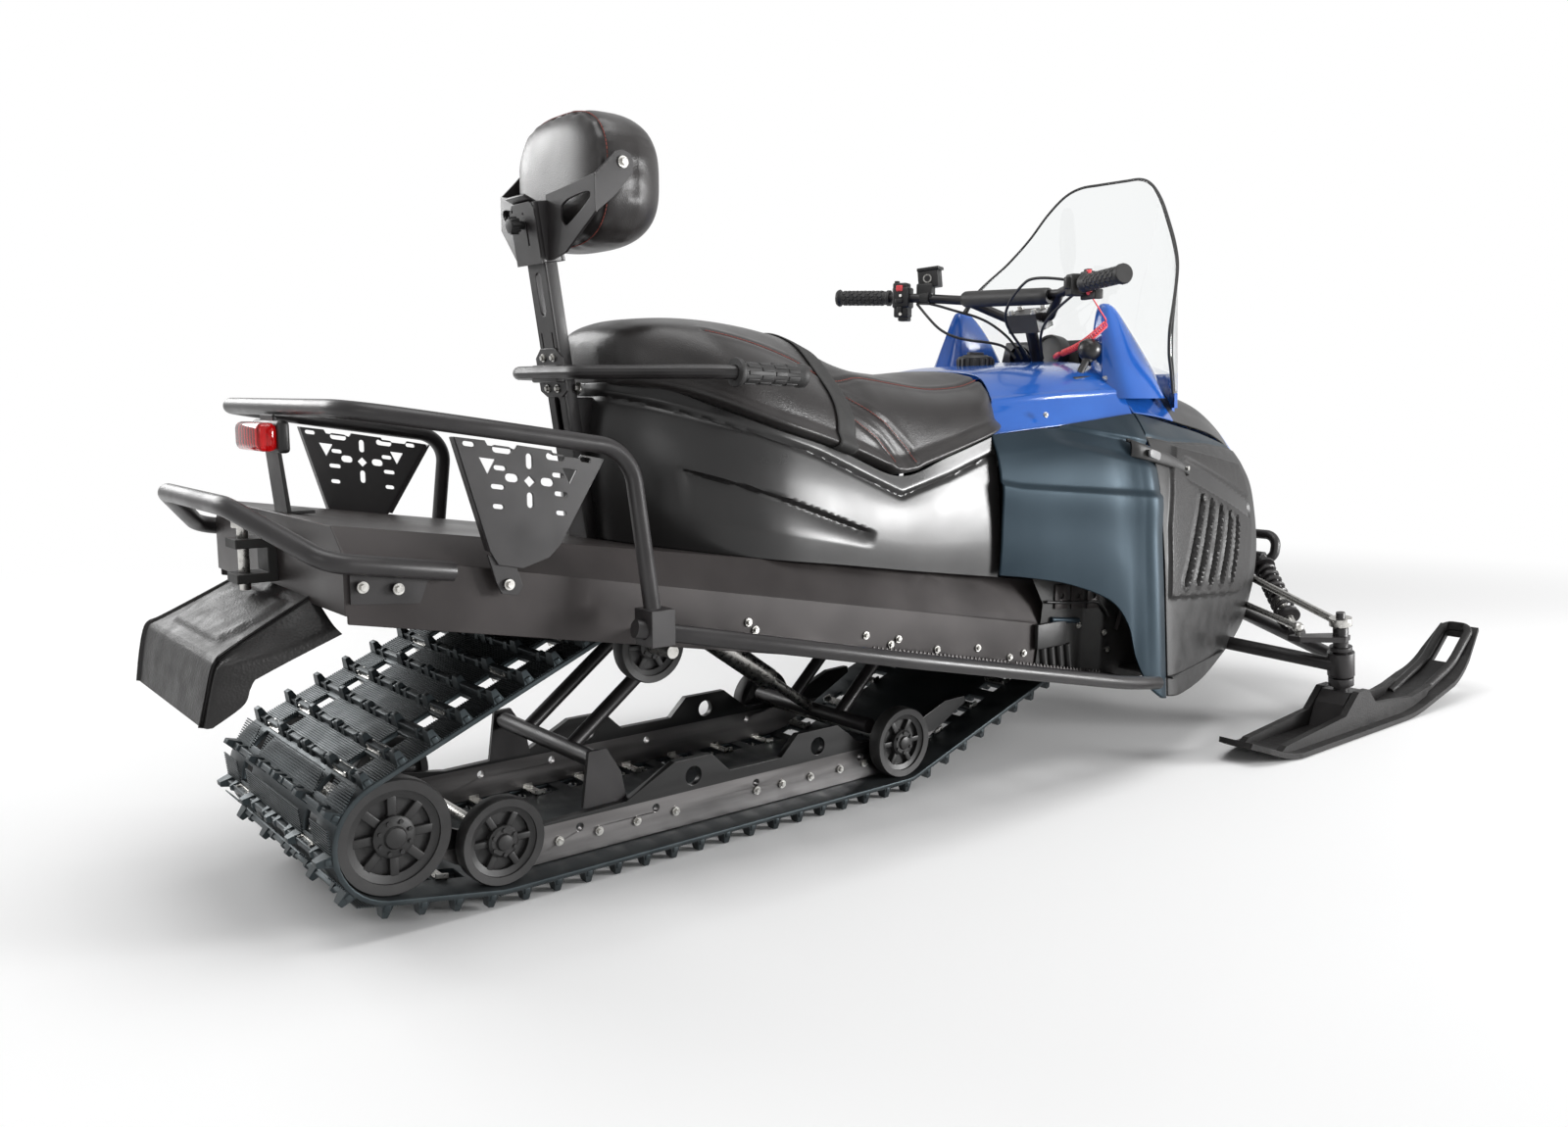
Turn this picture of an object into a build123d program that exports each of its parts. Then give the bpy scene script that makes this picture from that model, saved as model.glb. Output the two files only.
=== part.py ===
from build123d import *
import math
import os

# millimetres, +X forward, +Y left, +Z up; stations are measured from the rear idler axle
ORIGIN_X = 1282.9

TRACK_WIDTH = 500.0
BELT = 8.0
LUG_HEIGHT = 22.0
LUG_PITCH = 55.6
LUG_BASE = 30.0
LUG_TIP = 14.0
BELT_GAP = 0.4
FLOOR = BELT + LUG_HEIGHT

IDLER_R = 88.0
BOGIE_R = 70.0
SPROCKET_R = 76.0
CARRIER_R = 62.0
WHEEL_Y = 222.0
WHEEL_W = 30.0
RAIL_Y = 184.0
RAIL_T = 14.0

TUNNEL_REAR = -75.0
TUNNEL_FRONT = 1640.0
TUNNEL_WALL = 4.0
TUNNEL_TOP_Y = TRACK_WIDTH / 2 + 8.0
TUNNEL_SIDE_Y = TUNNEL_TOP_Y + 40.0
TUNNEL_IN_Y = TUNNEL_SIDE_Y - TUNNEL_WALL

BOARD_T = 4.0
BOARD_BAR = 28.0
HOOP_TUBE = 26.0
BUMPER_TUBE = 28.0
BAR_TUBE = 24.0
PANEL_T = 4.0

SKI_Y = 555.0
SKI_HALF = 74.0
SKI_T = 12.0
KINGPIN_X = 2168.0
KINGPIN_Z = 70.0
KINGPIN_RAKE = 8.0
SPINDLE_R = 17.0

STEER_X = 1668.0
STEER_Z = 955.0
STEER_RAKE = 20.0

POST_FOOT_X = 458.0
POST_FOOT_Z = 550.0
POST_LEAN = 8.35
SKIN = 5.0


def tunnel_top(x):
    return 600.0 - 0.147 * x


def tunnel_crease(x):
    return 562.0 - 0.185 * x


def tunnel_foot(x):
    return 466.0 - 0.19 * x


def flat(points):
    return make_face(Polyline(*points, close=True))


def slab(points, y0, y1):
    at = Plane(origin=(0, y1, 0), x_dir=(1, 0, 0), z_dir=(0, -1, 0))
    return extrude(at * flat(points), amount=y1 - y0)


def plate(points, z0, z1):
    return extrude(Plane.XY.offset(z0) * flat(points), amount=z1 - z0)


def block(x0, x1, y0, y1, z0, z1):
    size = Box(x1 - x0, y1 - y0, z1 - z0)
    return Pos((x0 + x1) / 2, (y0 + y1) / 2, (z0 + z1) / 2) * size


def loft_x(sections):
    faces = []
    for x, points in sections:
        at = Plane(origin=(x, 0, 0), x_dir=(0, 1, 0), z_dir=(1, 0, 0))
        faces.append(at * flat(points))
    return loft(faces, ruled=True)


def rod(start, end, diameter):
    reach = Vector(*end) - Vector(*start)
    at = Plane(origin=start, z_dir=reach)
    return extrude(at * Circle(diameter / 2), amount=reach.length)


def tube(points, radii, diameter):
    path = FilletPolyline(*points, radius=radii)
    at = Plane(origin=path @ 0, z_dir=path % 0)
    return sweep(at * Circle(diameter / 2), path=path)


def whole(points):
    other = [(x, -y, z) for x, y, z in reversed(points)]
    return list(points) + other


def both(shape):
    return Compound(children=[shape, mirror(shape, about=Plane.XZ)])


def full(half):
    other = [(-y, z) for y, z in reversed(half)]
    return list(half) + other


nodes = {}


def keep(name, shape):
    nodes[name] = shape


# track loop: wheels in running order along the floor, up the front and back over the top
loop = [
    {"x": 0.0, "z": 144.0 + 4.0, "r": IDLER_R},
    {"x": 172.0, "z": FLOOR + BOGIE_R + BELT_GAP, "r": BOGIE_R},
    {"x": 1037.0, "z": FLOOR + BOGIE_R + BELT_GAP, "r": BOGIE_R},
    {"x": 1462.0, "z": 254.0, "r": SPROCKET_R},
    {"x": 450.0, "z": 372.0, "r": CARRIER_R},
]


def loop_normals():
    out = []
    for here, there in zip(loop, loop[1:] + loop[:1]):
        dx = there["x"] - here["x"]
        dz = there["z"] - here["z"]
        span = math.hypot(dx, dz)
        a = (here["r"] - there["r"]) / span
        b = math.sqrt(1 - a * a)
        out.append((a * dx / span + b * dz / span, a * dz / span - b * dx / span))
    return out


def loop_runs(grow):
    # straight and curved runs of the loop at a given height above the wheels
    normals = loop_normals()
    runs = []
    for i, wheel in enumerate(loop):
        n0 = normals[i - 1]
        n1 = normals[i]
        a0 = math.atan2(n0[1], n0[0])
        a1 = math.atan2(n1[1], n1[0])
        while a1 < a0:
            a1 += 2 * math.pi
        r = wheel["r"] + grow
        runs.append({"kind": "arc", "c": (wheel["x"], wheel["z"]), "r": r, "a": (a0, a1)})
        after = loop[(i + 1) % len(loop)]
        p = (wheel["x"] + r * n1[0], wheel["z"] + r * n1[1])
        ra = after["r"] + grow
        q = (after["x"] + ra * n1[0], after["z"] + ra * n1[1])
        runs.append({"kind": "line", "p": p, "q": q, "n": n1})
    return runs


def loop_face(grow):
    edges = []
    for run in loop_runs(grow):
        if run["kind"] == "line":
            edges.append(Line(run["p"], run["q"]))
        else:
            a0, a1 = run["a"]
            spots = []
            for a in (a0, (a0 + a1) / 2, a1):
                reach = (run["r"] * math.cos(a), run["r"] * math.sin(a))
                spots.append((run["c"][0] + reach[0], run["c"][1] + reach[1]))
            edges.append(ThreePointArc(*spots))
    return make_face(edges)


def loop_places(grow):
    # evenly spaced points with outward normals
    runs = loop_runs(grow)
    lengths = []
    for run in runs:
        if run["kind"] == "line":
            lengths.append(math.dist(run["p"], run["q"]))
        else:
            lengths.append(run["r"] * (run["a"][1] - run["a"][0]))
    total = sum(lengths)
    count = round(total / LUG_PITCH)
    places = []
    for k in range(count):
        s = k * total / count
        for run, length in zip(runs, lengths):
            if s > length:
                s -= length
                continue
            if run["kind"] == "line":
                t = s / length
                spot = tuple(u + t * (v - u) for u, v in zip(run["p"], run["q"]))
                places.append((spot, run["n"]))
            else:
                a = run["a"][0] + s / run["r"]
                n = (math.cos(a), math.sin(a))
                spot = tuple(c + run["r"] * m for c, m in zip(run["c"], n))
                places.append((spot, n))
            break
    return places


outline = loop_face(BELT_GAP + BELT)
teeth = []
for spot, n in loop_places(BELT_GAP + BELT):
    t = (-n[1], n[0])
    corners = []
    foot = LUG_BASE / 2
    tip = LUG_TIP / 2
    for along, up in ((-foot, -2), (foot, -2), (tip, LUG_HEIGHT), (-tip, LUG_HEIGHT)):
        corners.append((spot[0] + t[0] * along + n[0] * up, spot[1] + t[1] * along + n[1] * up))
    teeth.append(flat(corners))
outline = outline + teeth - loop_face(BELT_GAP)
side = Plane(origin=(0, TRACK_WIDTH / 2, 0), x_dir=(1, 0, 0), z_dir=(0, -1, 0))
track = extrude(side * outline, amount=TRACK_WIDTH)
ring = loop_face(BELT_GAP + BELT + LUG_HEIGHT + 4) - loop_face(BELT_GAP + BELT)
for y in (-152.0, 152.0):
    lane = Plane(origin=(0, y + 22, 0), x_dir=(1, 0, 0), z_dir=(0, -1, 0))
    track = track - extrude(lane * ring, amount=44)
keep("track", track)


def wheel(x, y, z, r, width, spokes, bore):
    rim = Cylinder(r, width) - Cylinder(r - 16, width + 2)
    body = rim + Cylinder(r - 12, 8) + Cylinder(24, width)
    if spokes:
        for k in range(spokes):
            hole = Pos(r * 0.55, 0, 0) * Box(r * 0.32, r * 0.26, 20)
            body = body - Rot(0, 0, 360 / spokes * k) * hole
    body = body - Cylinder(bore / 2, width + 4)
    return Pos(x, y, z) * Rot(90, 0, 0) * body


idler = loop[0]
bogies = loop[1:3]
sprocket = loop[3]
carrier = loop[4]
AXLE = 25.0
wheels = []
for y in (-WHEEL_Y, 0.0, WHEEL_Y):
    wheels.append(wheel(idler["x"], y, idler["z"], IDLER_R, WHEEL_W, 8, AXLE + 0.6))
for place in bogies:
    for y in (-WHEEL_Y, WHEEL_Y):
        wheels.append(wheel(place["x"], y, place["z"], BOGIE_R, WHEEL_W, 5, 20.6))
for y in (-110.0, 110.0):
    wheels.append(wheel(carrier["x"], y, carrier["z"], CARRIER_R, 28, 0, 22.6))
keep("track_wheels", Compound(children=wheels))

axles = [rod((idler["x"], -240, idler["z"]), (idler["x"], 240, idler["z"]), AXLE)]
for place in bogies:
    axles.append(rod((place["x"], -240, place["z"]), (place["x"], 240, place["z"]), 20))
axles.append(rod((carrier["x"], -TUNNEL_IN_Y, carrier["z"]), (carrier["x"], TUNNEL_IN_Y, carrier["z"]), 22))
keep("wheel_axles", Compound(children=axles))

drive = rod((sprocket["x"], -TUNNEL_IN_Y, sprocket["z"]), (sprocket["x"], TUNNEL_IN_Y, sprocket["z"]), 36)
for y in (-70.0, 70.0):
    hub = (sprocket["x"], sprocket["z"])
    drive = drive + rod((hub[0], y - 25, hub[1]), (hub[0], y + 25, hub[1]), 2 * SPROCKET_R - 14)
    for k in range(8):
        a = 2 * math.pi * k / 8
        tooth = (hub[0] + (SPROCKET_R - 6) * math.cos(a), hub[1] + (SPROCKET_R - 6) * math.sin(a))
        drive = drive + rod((tooth[0], y - 25, tooth[1]), (tooth[0], y + 25, tooth[1]), 11)
keep("drive_axle", drive)

# slide rails with humped side plates
rail_line = [
    (-26, 136), (-26, 166), (20, 170), (120, 118), (262, 96), (420, 100), (520, 150), (600, 150),
    (640, 112), (760, 112), (800, 150), (900, 150), (960, 104), (1080, 104), (1200, 150), (1260, 152),
    (1262, 138), (1180, 96), (1070, 40), (1020, FLOOR + 0.8), (210, FLOOR + 0.8), (110, 66), (40, 116),
]
rail = slab(rail_line, RAIL_Y - RAIL_T / 2, RAIL_Y + RAIL_T / 2)
for place, d in ((idler, AXLE), (bogies[0], 20), (bogies[1], 20)):
    rail = rail - rod((place["x"], RAIL_Y - 20, place["z"]), (place["x"], RAIL_Y + 20, place["z"]), d + 0.6)
for x, z, d in ((560, 118, 34), (850, 118, 34), (330, 76, 14), (480, 76, 14), (700, 76, 14), (960, 76, 14)):
    rail = rail - rod((x, RAIL_Y - 20, z), (x, RAIL_Y + 20, z), d)
keep("slide_rails", both(rail))

# swing arms of the track suspension, welded from tube
REAR_PIVOT = (640, 378)
FRONT_FOOT = (1000, 128)
arms = []
for low, high in (((375, 176), REAR_PIVOT), (FRONT_FOOT, (1180, 300))):
    inner = RAIL_Y - RAIL_T / 2
    arm = rod((low[0], -inner, low[1]), (low[0], inner, low[1]), 30)
    arm = arm + rod((high[0], -TUNNEL_IN_Y, high[1]), (high[0], TUNNEL_IN_Y, high[1]), 32)
    for y in (-78.0, 78.0):
        arm = arm + rod((low[0], y, low[1]), (high[0], y, high[1]), 26)
    arms.append(arm)
foot_line = [(345, 100), (430, 100), (420, 150), (392, 195), (358, 195)]
foot = slab(foot_line, RAIL_Y - RAIL_T / 2 - 8, RAIL_Y - RAIL_T / 2)
arms[0] = arms[0] + foot + mirror(foot, about=Plane.XZ)
keep("suspension_arms", Compound(children=arms))

damper_low = (FRONT_FOOT[0], 0, FRONT_FOOT[1])
damper_high = (REAR_PIVOT[0], 0, REAR_PIVOT[1])
damper_reach = Vector(*damper_low) - Vector(*damper_high)
barrel = [Vector(*damper_high) + damper_reach * t for t in (0.14, 0.67)]
damper = rod(damper_high, damper_low, 22) + rod(tuple(barrel[0]), tuple(barrel[1]), 46)
for eye, d in ((damper_low, 30.6), (damper_high, 32.6)):
    damper = damper - rod((eye[0], -60, eye[2]), (eye[0], 60, eye[2]), d)
keep("track_damper", damper)

# tunnel: folded sheet, chamfered shoulders
shell = []
for x in (TUNNEL_REAR, TUNNEL_FRONT):
    w = TUNNEL_WALL
    outer = [(-TUNNEL_SIDE_Y, tunnel_foot(x)), (-TUNNEL_SIDE_Y, tunnel_crease(x)),
             (-TUNNEL_TOP_Y, tunnel_top(x))]
    inner = [(-TUNNEL_IN_Y, tunnel_foot(x)), (-TUNNEL_IN_Y, tunnel_crease(x)),
             (-TUNNEL_TOP_Y + w * 0.7, tunnel_top(x) - w)]
    shell.append((x, full(outer) + [(y, z) for y, z in reversed(full(inner))]))
tunnel = loft_x(shell)
x = TUNNEL_REAR
rear_wall = [(-TUNNEL_SIDE_Y, 492), (-TUNNEL_SIDE_Y, tunnel_crease(x)), (-TUNNEL_TOP_Y, tunnel_top(x))]
at = Plane(origin=(x, 0, 0), x_dir=(0, 1, 0), z_dir=(1, 0, 0))
tunnel = tunnel + extrude(at * flat(full(rear_wall)), amount=-4)
keep("tunnel", tunnel)

# running boards and the bars along their edges
bar_rows = [
    {"x": 318, "out": 90.1, "z": 440.8}, {"x": 840, "out": 154, "z": 330},
    {"x": 1440, "out": 164, "z": 203}, {"x": 1590, "out": 142, "z": 176},
]
bar_path = [(row["x"], -TUNNEL_SIDE_Y - row["out"], row["z"]) for row in bar_rows]


def board_z(x):
    return 430.0 - (x - 350.0) * 0.2085


board_half = [(378, 0), (1560, 0), (1560, 139), (1440, 149), (840, 139), (378, 82)]
low = [(x, -TUNNEL_SIDE_Y - out, board_z(x)) for x, out in board_half]
face = Face(Wire.make_polygon([Vector(*p) for p in low], close=True))
board = extrude(face, amount=BOARD_T, dir=(0, 0, -1))
for k in range(9):
    x = 470 + k * 118
    slot = Pos(x + 33, -TUNNEL_SIDE_Y - 67, board_z(x)) * Box(66, 70, 80)
    board = board - slot
keep("running_boards", both(board))
bar = tube(bar_path, [500, 700], BOARD_BAR)
keep("board_bars", both(bar - board))

# cargo hoop, slotted side panels, rear bumper and tail
hoop_rows = [
    {"x": 350, "out": 92, "z": 458}, {"x": 352, "out": 32, "z": 704},
    {"x": 75, "out": 27, "z": 746}, {"x": -60, "out": -13, "z": 767},
]
hoop_half = [(row["x"], -TUNNEL_SIDE_Y - row["out"], row["z"]) for row in hoop_rows]
hoop = tube(whole(hoop_half), [60, 500, 85, 85, 500, 60], HOOP_TUBE)
foot_clamp = block(332, 374, -TUNNEL_SIDE_Y - 116, -TUNNEL_SIDE_Y - 68, 412, 468)
clamp_ends = [(300, -TUNNEL_SIDE_Y - 87.9, 444.6), (420, -TUNNEL_SIDE_Y - 102.6, 419.1)]
foot_clamp = foot_clamp - rod(*clamp_ends, BOARD_BAR + 0.6)
hoop = hoop + foot_clamp + mirror(foot_clamp, about=Plane.XZ)
keep("cargo_hoop", hoop)

panel_line = [(88, 728), (312, 690), (232, 560), (205, 548), (150, 552), (126, 572)]
PANEL_Y = TUNNEL_SIDE_Y + 26.0
panel = slab(panel_line, -PANEL_Y, -PANEL_Y + PANEL_T)
slots = [
    {"x": 190, "z": 692, "w": 12, "h": 22}, {"x": 190, "z": 630, "w": 12, "h": 22},
    {"x": 160, "z": 665, "w": 26, "h": 12}, {"x": 220, "z": 656, "w": 26, "h": 12},
    {"x": 130, "z": 700, "w": 20, "h": 12}, {"x": 252, "z": 676, "w": 20, "h": 12},
    {"x": 165, "z": 600, "w": 12, "h": 30}, {"x": 205, "z": 596, "w": 12, "h": 30},
]
for s in slots:
    cut = Box(s["w"], 20, s["h"])
    panel = panel - Pos(s["x"], -PANEL_Y, s["z"]) * cut
diamond = slab([(190, 672), (201, 661), (190, 650), (179, 661)], -PANEL_Y - 6, -PANEL_Y + 14)
panel = panel - diamond
tab = slab([(150, 552), (205, 548), (200, 500), (150, 508)], -TUNNEL_SIDE_Y - 4, -TUNNEL_SIDE_Y)
bend = block(152, 204, -PANEL_Y, -TUNNEL_SIDE_Y, 548, 553)
panel = panel + tab + bend
panel = panel - rod((350, hoop_half[1][1], 704), hoop_half[2], HOOP_TUBE + 0.4)
keep("cargo_panels", both(panel))

BUMPER_Y = TUNNEL_SIDE_Y + BUMPER_TUBE / 2 + 0.3
bumper_half = [(70, -BUMPER_Y, 541), (-104, -BUMPER_Y, 568), (-184, -160, 636)]
bumper = tube(whole(bumper_half), [45, 60, 60, 45], BUMPER_TUBE)
lug = slab([(-72, 508), (24, 500), (44, 548), (-72, 568)], -TUNNEL_SIDE_Y - 5, -TUNNEL_SIDE_Y)
lug = lug + mirror(lug, about=Plane.XZ)
keep("rear_bumper", bumper + lug)

hook_line = [
    (-79, 508), (-79, 574), (-138, 574), (-138, 560),
    (-93, 560), (-93, 522), (-138, 522), (-138, 508),
]
hook = slab(hook_line, -26, 26)
hook = hook - rod((-120, 0, 500), (-120, 0, 590), 16.6)
keep("tow_hook", hook)
pin = rod((-120, 0, 496), (-120, 0, 590), 16) + rod((-120, 0, 590), (-120, 0, 602), 30)
pin = pin - rod((-120, -30, 596), (-120, 30, 596), 5)
keep("hitch_pin", pin)

# snow flap: bent sheet with side skirts
flap_line = [(-79, 492), (-79, 500), (-216, 428), (-238, 338), (-231, 337), (-210, 422)]
FLAP_HALF = 196.0
flap = slab(flap_line, -FLAP_HALF, FLAP_HALF)
skirt_line = [(-79, 492), (-210, 422), (-222, 380), (-160, 404), (-79, 444)]
skirt = slab(skirt_line, -FLAP_HALF, -FLAP_HALF + 6)
keep("snow_flap", flap + skirt + mirror(skirt, about=Plane.XZ))

bracket = slab([(-20, 607), (-20, 612), (-56, 612), (-72, 756), (-77, 756), (-62, 607)], -30, 30)
bracket = bracket - rod((-60, -60, 767), (-60, 60, 767), HOOP_TUBE + 0.6)
bracket = bracket - block(-90, 0, -40, 40, 560, 606)
base_cut = slab([(-120, tunnel_top(-120)), (60, tunnel_top(60)), (60, 560), (-120, 560)], -60, 60)
keep("taillight_bracket", bracket - base_cut)
lamp = slab([(-60, 700), (-60, 748), (-104, 744), (-108, 712)], -62, 62)
keep("taillight", lamp - slab([(-62.3, 607), (-77.3, 756), (0, 756), (0, 607)], -80, 80))

# seat base and cushion, stepped along the seat, both bowed round the backrest post at the rear
TAIL_HALF = 66.0
SEAT_Y = TUNNEL_SIDE_Y
seat_rows = [
    {"x": 477, "foot": TAIL_HALF, "rim": TAIL_HALF - 8, "side": TAIL_HALF - 26},
    {"x": 540, "foot": SEAT_Y - 146, "rim": SEAT_Y - 160, "side": SEAT_Y - 186},
    {"x": 620, "foot": SEAT_Y - 70, "rim": SEAT_Y - 96, "side": SEAT_Y - 128},
    {"x": 710, "foot": SEAT_Y - 36, "rim": SEAT_Y - 62, "side": SEAT_Y - 102},
    {"x": 840, "foot": SEAT_Y - 30, "rim": SEAT_Y - 52, "side": SEAT_Y - 98},
    {"x": 985, "foot": SEAT_Y - 26, "rim": SEAT_Y - 42, "side": SEAT_Y - 100},
    {"x": 1262, "foot": SEAT_Y - 22, "rim": SEAT_Y - 36, "side": SEAT_Y - 108},
]
seat_heights = [  # rim edge, shoulder and crown at each of those stations
    {"edge": 806, "brow": 862, "crown": 872},
    {"edge": 796, "brow": 886, "crown": 908},
    {"edge": 756, "brow": 898, "crown": 920},
    {"edge": 722, "brow": 896, "crown": 919},
    {"edge": 688, "brow": 882, "crown": 902},
    {"edge": 634, "brow": 820, "crown": 838},
    {"edge": 708, "brow": 806, "crown": 826},
]
base_sections = []
seat_sections = []
for row, height in zip(seat_rows, seat_heights):
    foot_z = tunnel_top(row["x"]) + 0.3
    shoulder_z = (foot_z + height["edge"]) / 2
    half = [(-row["foot"], foot_z), (-row["foot"] - 6, shoulder_z), (-row["rim"], height["edge"])]
    base_sections.append((row["x"], full(half)))
    half = [(-row["rim"] + 3, height["edge"] + 0.4), (-row["side"] - 14, height["brow"] - 44),
            (-row["side"] * 0.82, height["brow"]), (-row["side"] * 0.45, height["crown"])]
    seat_sections.append((row["x"], full(half)))
keep("seat_base", loft_x(base_sections))
keep("seat", loft_x(seat_sections))

# adjustable backrest on its channel post, with the passenger bar
lean = math.radians(POST_LEAN)
post_at = Plane(origin=(POST_FOOT_X, 0, POST_FOOT_Z), x_dir=(math.cos(lean), 0, math.sin(lean)),
                z_dir=(-math.sin(lean), 0, math.cos(lean)))


def along_post(h):
    return post_at.origin + post_at.z_dir * h


POST_TOP = 558.0
channel = Rectangle(24, 60) - Pos(4, 0) * Rectangle(24, 52)
post = extrude(post_at * channel, amount=POST_TOP)
post = post + extrude(post_at.offset(-40) * Rectangle(24, 60), amount=40)
for k in range(6):
    spot = along_post(360 + k * 30)
    post = post - block(spot.X - 40, spot.X + 40, -7, 7, spot.Z - 5, spot.Z + 5)
under = slab([(300, tunnel_top(300)), (700, tunnel_top(700)), (700, 300), (300, 300)], -200, 200)
stay = block(430, seat_rows[0]["x"], -26, 26, 690, 780)
stay = stay - extrude(post_at * Rectangle(20, 60), amount=POST_TOP)
behind = along_post(330)
stay = stay - slab([(300, 560), (POST_FOOT_X, 560), (behind.X, behind.Z), (300, behind.Z)], -60, 60)
keep("backrest_post", post - under + stay)

spot = along_post(276)
BAR_X = spot.X - 12 - BAR_TUBE / 2 - 1
GRIP_Y = TUNNEL_SIDE_Y + 14.0
grab_half = [(735, -GRIP_Y, 830), (556, -GRIP_Y, 822), (BAR_X, -104, 822)]
grab = tube(whole(grab_half), [90, 50, 50, 90], BAR_TUBE)
saddle = block(BAR_X - 4, BAR_X + 13, -45, 45, 800, 840)
grab = grab + saddle
grab = grab - extrude(post_at * Rectangle(24.6, 60.6), amount=POST_TOP)
keep("grab_bar", grab)
grip = rod((626, -GRIP_Y, 825.1), (742, -GRIP_Y, 830.3), 36)
grip = grip - rod(grab_half[1], grab_half[0], BAR_TUBE + 0.6)
keep("grab_grips", both(grip))

# carriage: sleeve on the post, folded wings out to the pad bolts
PAD_X = 452.0
PAD_Z = 1157.0
PAD_HALF = 148.0
WING_T = 6.0
WING_Y = PAD_HALF + 10.0
SLEEVE_LOW = 460.0
SLEEVE_LONG = 100.0
sleeve = Rectangle(44, 84) - Rectangle(26, 62)
carriage = extrude(post_at.offset(SLEEVE_LOW) * sleeve, amount=SLEEVE_LONG)
spot = along_post(SLEEVE_LOW + SLEEVE_LONG / 2)
wing_x = spot.X + 2
wing_plan = [
    (wing_x - WING_T, -40), (PAD_X - 50, -WING_Y - WING_T), (PAD_X + 24, -WING_Y - WING_T),
    (PAD_X + 24, -WING_Y), (PAD_X - 46, -WING_Y), (wing_x + WING_T, -40),
]
wing_line = [
    (wing_x - 20, spot.Z - 46), (wing_x + 14, spot.Z - 46), (PAD_X + 20, PAD_Z - 14),
    (PAD_X + 12, PAD_Z + 16), (PAD_X - 12, PAD_Z + 16), (wing_x - 20, spot.Z + 50),
]
window = [
    (wing_x + 14, spot.Z - 4), (PAD_X - 8, PAD_Z - 36), (PAD_X - 24, PAD_Z - 18), (wing_x + 14, spot.Z + 44),
]
wing = plate(wing_plan, 900, 1300) & (slab(wing_line, -300, 0) - slab(window, -300, 0))
wing = wing - rod((PAD_X, -300, PAD_Z), (PAD_X, -100, PAD_Z), 13)
carriage = carriage + wing + mirror(wing, about=Plane.XZ)
knob = rod((spot.X - 21, 0, spot.Z + 14), (spot.X - 50, 0, spot.Z + 14), 36)
keep("backrest_carriage", carriage + knob)

pad_line = [
    (428, 1024), (492, 1024), (538, 1064), (554, 1128), (540, 1198),
    (504, 1248), (462, 1266), (430, 1248), (416, 1190),
]
pad_front = [
    (-PAD_HALF + 14, 1020), (-PAD_HALF, 1056), (-PAD_HALF, 1164),
    (-PAD_HALF + 18, 1226), (-PAD_HALF + 62, 1270),
]
at = Plane(origin=(300, 0, 0), x_dir=(0, 1, 0), z_dir=(1, 0, 0))
pad = slab(pad_line, -PAD_HALF, PAD_HALF) & extrude(at * flat(full(pad_front)), amount=400)
pad = pad + rod((PAD_X, -PAD_HALF - 28, PAD_Z), (PAD_X, PAD_HALF + 28, PAD_Z), 12)
keep("backrest_pad", pad)

# bodywork: rows of edge lines along the body, right side; each panel is a sheet between rows.
# a pair is (how far out from the tunnel side, height)
body_rows = [
    {"x": 1240, "toe": (2, 424), "waist": (5, 520), "brow": (-1, 630), "edge": (-26, 702)},
    {"x": 1640, "toe": (150, 176), "waist": (126, 440), "brow": (94, 645), "edge": (20, 742)},
    {"x": 2000, "toe": (54, 172), "waist": (54, 440), "brow": (20, 600), "edge": (-52, 690)},
    {"x": 2262, "toe": (-48, 246), "waist": (-36, 430), "brow": (-58, 560), "edge": (-112, 640)},
]


def right(pair):
    return (-TUNNEL_SIDE_Y - pair[0], pair[1])


def sheet(rows, names):
    sections = []
    for row in rows:
        outer = [right(row[n]) for n in names]
        inner = [(y + SKIN, z) for y, z in reversed(outer)]
        inner[0] = (inner[0][0] + 4, inner[0][1] - SKIN)
        sections.append((row["x"], outer + inner))
    return loft_x(sections)


names = ("toe", "waist", "brow", "edge")
side_panel = sheet(body_rows[:2], names)
toe_well = [
    (1200, 300), (1200, 422), (1440, 404), (1530, 370), (1572, 300), (1588, 160), (1588, 100), (1200, 100),
]
side_panel = side_panel - slab(toe_well, -600, 0)
keep("side_panels", both(side_panel))

nose_rows = [dict(row) for row in body_rows[1:]]
nose_rows[0]["x"] = 1643
nose = sheet(nose_rows, names)
chin = [
    (1900, 100), (1900, 172), (2000, 222), (2110, 262),
    (2180, 320), (2226, 400), (2300, 430), (2300, 100),
]
nose = nose - slab(chin, -600, 0)
VENT_HALF = 10.5
vent_rows = [  # slanted slots with round ends
    {"top": (1884, 536), "foot": (1841, 338)},
    {"top": (1927, 518), "foot": (1892, 333)},
    {"top": (1971, 500), "foot": (1943, 330)},
    {"top": (2013, 484), "foot": (1994, 330)},
    {"top": (2050, 472), "foot": (2042, 332)},
]
for row in vent_rows:
    top_x, top_z = row["top"]
    foot_x, foot_z = row["foot"]
    slit = slab([(foot_x - VENT_HALF, foot_z), (foot_x + VENT_HALF, foot_z),
                 (top_x + VENT_HALF, top_z), (top_x - VENT_HALF, top_z)], -600, -200)
    slit = slit + rod((top_x, -600, top_z), (top_x, -200, top_z), 2 * VENT_HALF)
    slit = slit + rod((foot_x, -600, foot_z), (foot_x, -200, foot_z), 2 * VENT_HALF)
    nose = nose - slit
keep("nose_panels", both(nose))

belly_rows = []
for row in nose_rows[:2]:
    y, z = right(row["toe"])
    y = y + SKIN + 1
    belly_rows.append((row["x"], [(y, z), (-y, z), (-y, z + SKIN), (y, z + SKIN)]))
keep("belly_pan", loft_x(belly_rows))

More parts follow.
